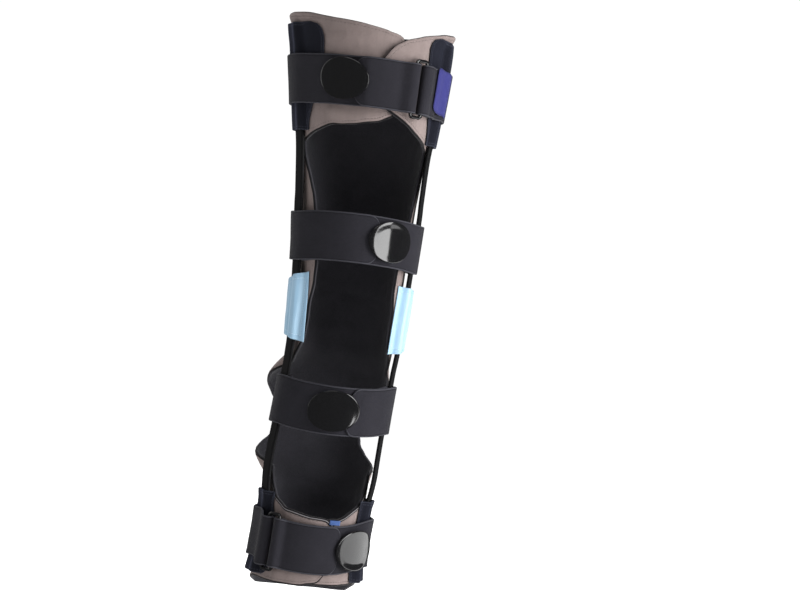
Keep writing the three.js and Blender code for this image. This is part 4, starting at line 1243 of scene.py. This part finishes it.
def side_label_points():
    """Stations from the webbing over the stay, with a slant and a rounded outline."""
    at = THIGH_CLOSURE["ring"] - 360
    over = STRAP / 2 + CLEAR + 0.5
    on_web, on_stay = ON_WING + STRAP_LAYER + over + 0.4, OVER_STAY + over + 0.2
    start = at + 15.5
    table = [
        (start, on_web + 1.2, 0.0), (start + 3.5, on_web + 0.6, 0.0), (start + 10, on_stay, 0.0),
        (INNER_STAY, on_stay, -HUMP_WIDE), (INNER_STAY, on_stay, -HUMP_WIDE + 10.0),
        (INNER_STAY, on_stay, -HUMP_WIDE + 12.5),
    ]
    angle, lift, across = (np.array(c)[:, None] for c in zip(*table))
    slant = np.array([3, 2, 1, 0, -2, -3])[:, None]
    rows = (crowded(45, 3.0, (0.12, 0.4, 0.9, 1.8)) - 0.5)[None] * 45
    line = through(on_leg(angle, THIGH_STRAP_AT + 2 + slant + rows, lift, across), 1.2)
    place = lengths(line, 0)
    near = np.minimum(place, place[-1:] - place)
    squeeze = 1 - 0.2 * (1 - rounded(near, 8.0, 0.0))
    middle = line[:, line.shape[1] // 2, 2][:, None]
    line[..., 2] = middle + (line[..., 2] - middle) * squeeze
    return line


def small_label_points():
    bottom = CALF_STRAP_AT + CALF_STRAP_ARCH + STRAP_WIDTH / 2 + 1.3
    half = turn_of(10.5 / 2, 19, bottom)
    angle = 19 + half * np.linspace(-1, 1, 12)[:, None]
    return on_leg(angle, bottom + np.linspace(0, 5, 7)[None], ON_PANEL + WING_STEP + 0.5)


sheet_piece("side_label_patch", "side_label", label_cloth, side_label_points(), 1.0, radius=0.6)
patch = small_label_points()
sheet_piece("calf_label_patch", "calf_label", patch_cloth, patch, 1.0, radius=0.5, slot="label_cloth")

# %% [markdown]
# ## Camera, light and floor
# The photograph looks at the front of the leg from a little to its outer side, level with the knee,
# and the leg leans to the right in the picture. So the camera stands at that angle and is rolled.
# Light is large and soft and comes mostly from the inner side, with a pale floor under the brace.
# Gloss shows whatever surrounds it. So the two strongest boxes light the cloth without being
# mirrored, and the window and the grey card stand where the tabs mirror them.

# %% Camera
AZIMUTH, ROLL, DISTANCE = math.radians(-6), math.radians(7), 2.1
MM_PER_PIXEL, PICTURE_WIDTH = 1.04, 800
# The picture's middle is this many pixels to the right of the knee's middle, and above it.
AIM_RIGHT, AIM_ABOVE = 52, 12


def stand(item, axes, place):
    """Put a camera or lamp at a place, its own X, Y and Z along the three axes."""
    seat = Matrix(np.stack(axes, 1).tolist()).to_4x4()
    seat.translation = place.tolist()
    item.matrix_world = seat
    bpy.context.scene.collection.objects.link(item)


back = np.array([math.sin(AZIMUTH), -math.cos(AZIMUTH), 0.0])
level = np.array([math.cos(AZIMUTH), math.sin(AZIMUTH), 0.0])
upright = np.array([0, 0, 1.0])
right = math.cos(ROLL) * level + math.sin(ROLL) * upright
above = -math.sin(ROLL) * level + math.cos(ROLL) * upright
target = (AIM_RIGHT * right + AIM_ABOVE * above) * MM_PER_PIXEL * MM
camera_data = bpy.data.cameras.new("camera")
camera_data.lens = camera_data.sensor_width * DISTANCE / (PICTURE_WIDTH * MM_PER_PIXEL * MM)
camera = bpy.data.objects.new("camera", camera_data)
stand(camera, [right, above, back], target + back * DISTANCE)
bpy.context.scene.camera = camera
print("camera lens", round(camera_data.lens, 1), "mm")

# %% Lights and floor


def soft_box(name, azimuth, elevation, distance, size, power, mirrored_in_gloss=True):
    """A rectangular light on a sphere round the brace, facing the knee."""
    a, e = math.radians(azimuth), math.radians(elevation)
    away = np.array([math.sin(a) * math.cos(e), -math.cos(a) * math.cos(e), math.sin(e)])
    data = bpy.data.lights.new(name, "AREA")
    data.shape, data.size, data.size_y, data.energy = "RECTANGLE", size[0], size[1], power
    lamp = bpy.data.objects.new(name, data)
    lamp.visible_glossy = mirrored_in_gloss
    side = unit(np.cross([0, 0, 1.0], away))
    stand(lamp, [side, np.cross(away, side), away], away * distance)


soft_box("key_light", 64, 14, 2.4, (1.6, 2.0), 85, mirrored_in_gloss=False)
soft_box("window_light", 50, 12, 2.4, (1.1, 1.9), 42)
soft_box("grey_card", 92, -18, 2.3, (2.4, 0.7), 11)
soft_box("high_light", -30, 52, 2.8, (2.0, 1.4), 14)
soft_box("rear_light", 200, 30, 2.6, (2.0, 1.6), 42, mirrored_in_gloss=False)
soft_box("left_light", -100, 15, 2.6, (0.6, 1.6), 4)
world = bpy.data.worlds.new("studio")
world.use_nodes = True
sky = Finish(tree=world.node_tree)
seen = sky.add("LightPath", give="Is Camera Ray")
mirrored_light = Value(sky, seen.socket.node.outputs["Is Glossy Ray"])
background = world.node_tree.nodes["Background"]
background.inputs["Color"].default_value = (1.0, 1.0, 1.0, 1.0)
strength = 0.25 + seen * 0.79 - mirrored_light * 0.13
world.node_tree.links.new(strength.socket, background.inputs["Strength"])
bpy.context.scene.world = world
bpy.context.scene.view_settings.view_transform = "Standard"

FLOOR_HEIGHT, FLOOR_HALF = -0.44, 6
floor_finish = Finish("studio_floor")
floor_material = floor_finish.surface(
    Base_Color=floor_finish.layers((238, 238, 238), (floor_finish.noise(3, 2, 0.5), (244, 244, 244))),
    Roughness=0.9,
    Emission_Color=(1.0, 1.0, 1.0, 1.0),
    Emission_Strength=0.78,
)
floor_mesh = bpy.data.meshes.new("floor")
half, low = FLOOR_HALF, FLOOR_HEIGHT
corners = [(-half, -half, low), (half, -half, low), (half, half, low), (-half, half, low)]
floor_mesh.from_pydata(corners, [], [(0, 1, 2, 3)])
floor_mesh.materials.append(floor_material)
floor = bpy.data.objects.new("floor", floor_mesh)
bpy.context.scene.collection.objects.link(floor)
floor.visible_glossy = False
floor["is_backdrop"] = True
print("floor at", FLOOR_HEIGHT, "m")

# %% Compare the boxes and finish
visual_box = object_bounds()
sizes = {"cad": [list(c) for c in cad_box], "visual": [list(c) for c in visual_box]}
for name, box in sizes.items():
    print(name, [[round(v, 4) for v in corner] for corner in box])
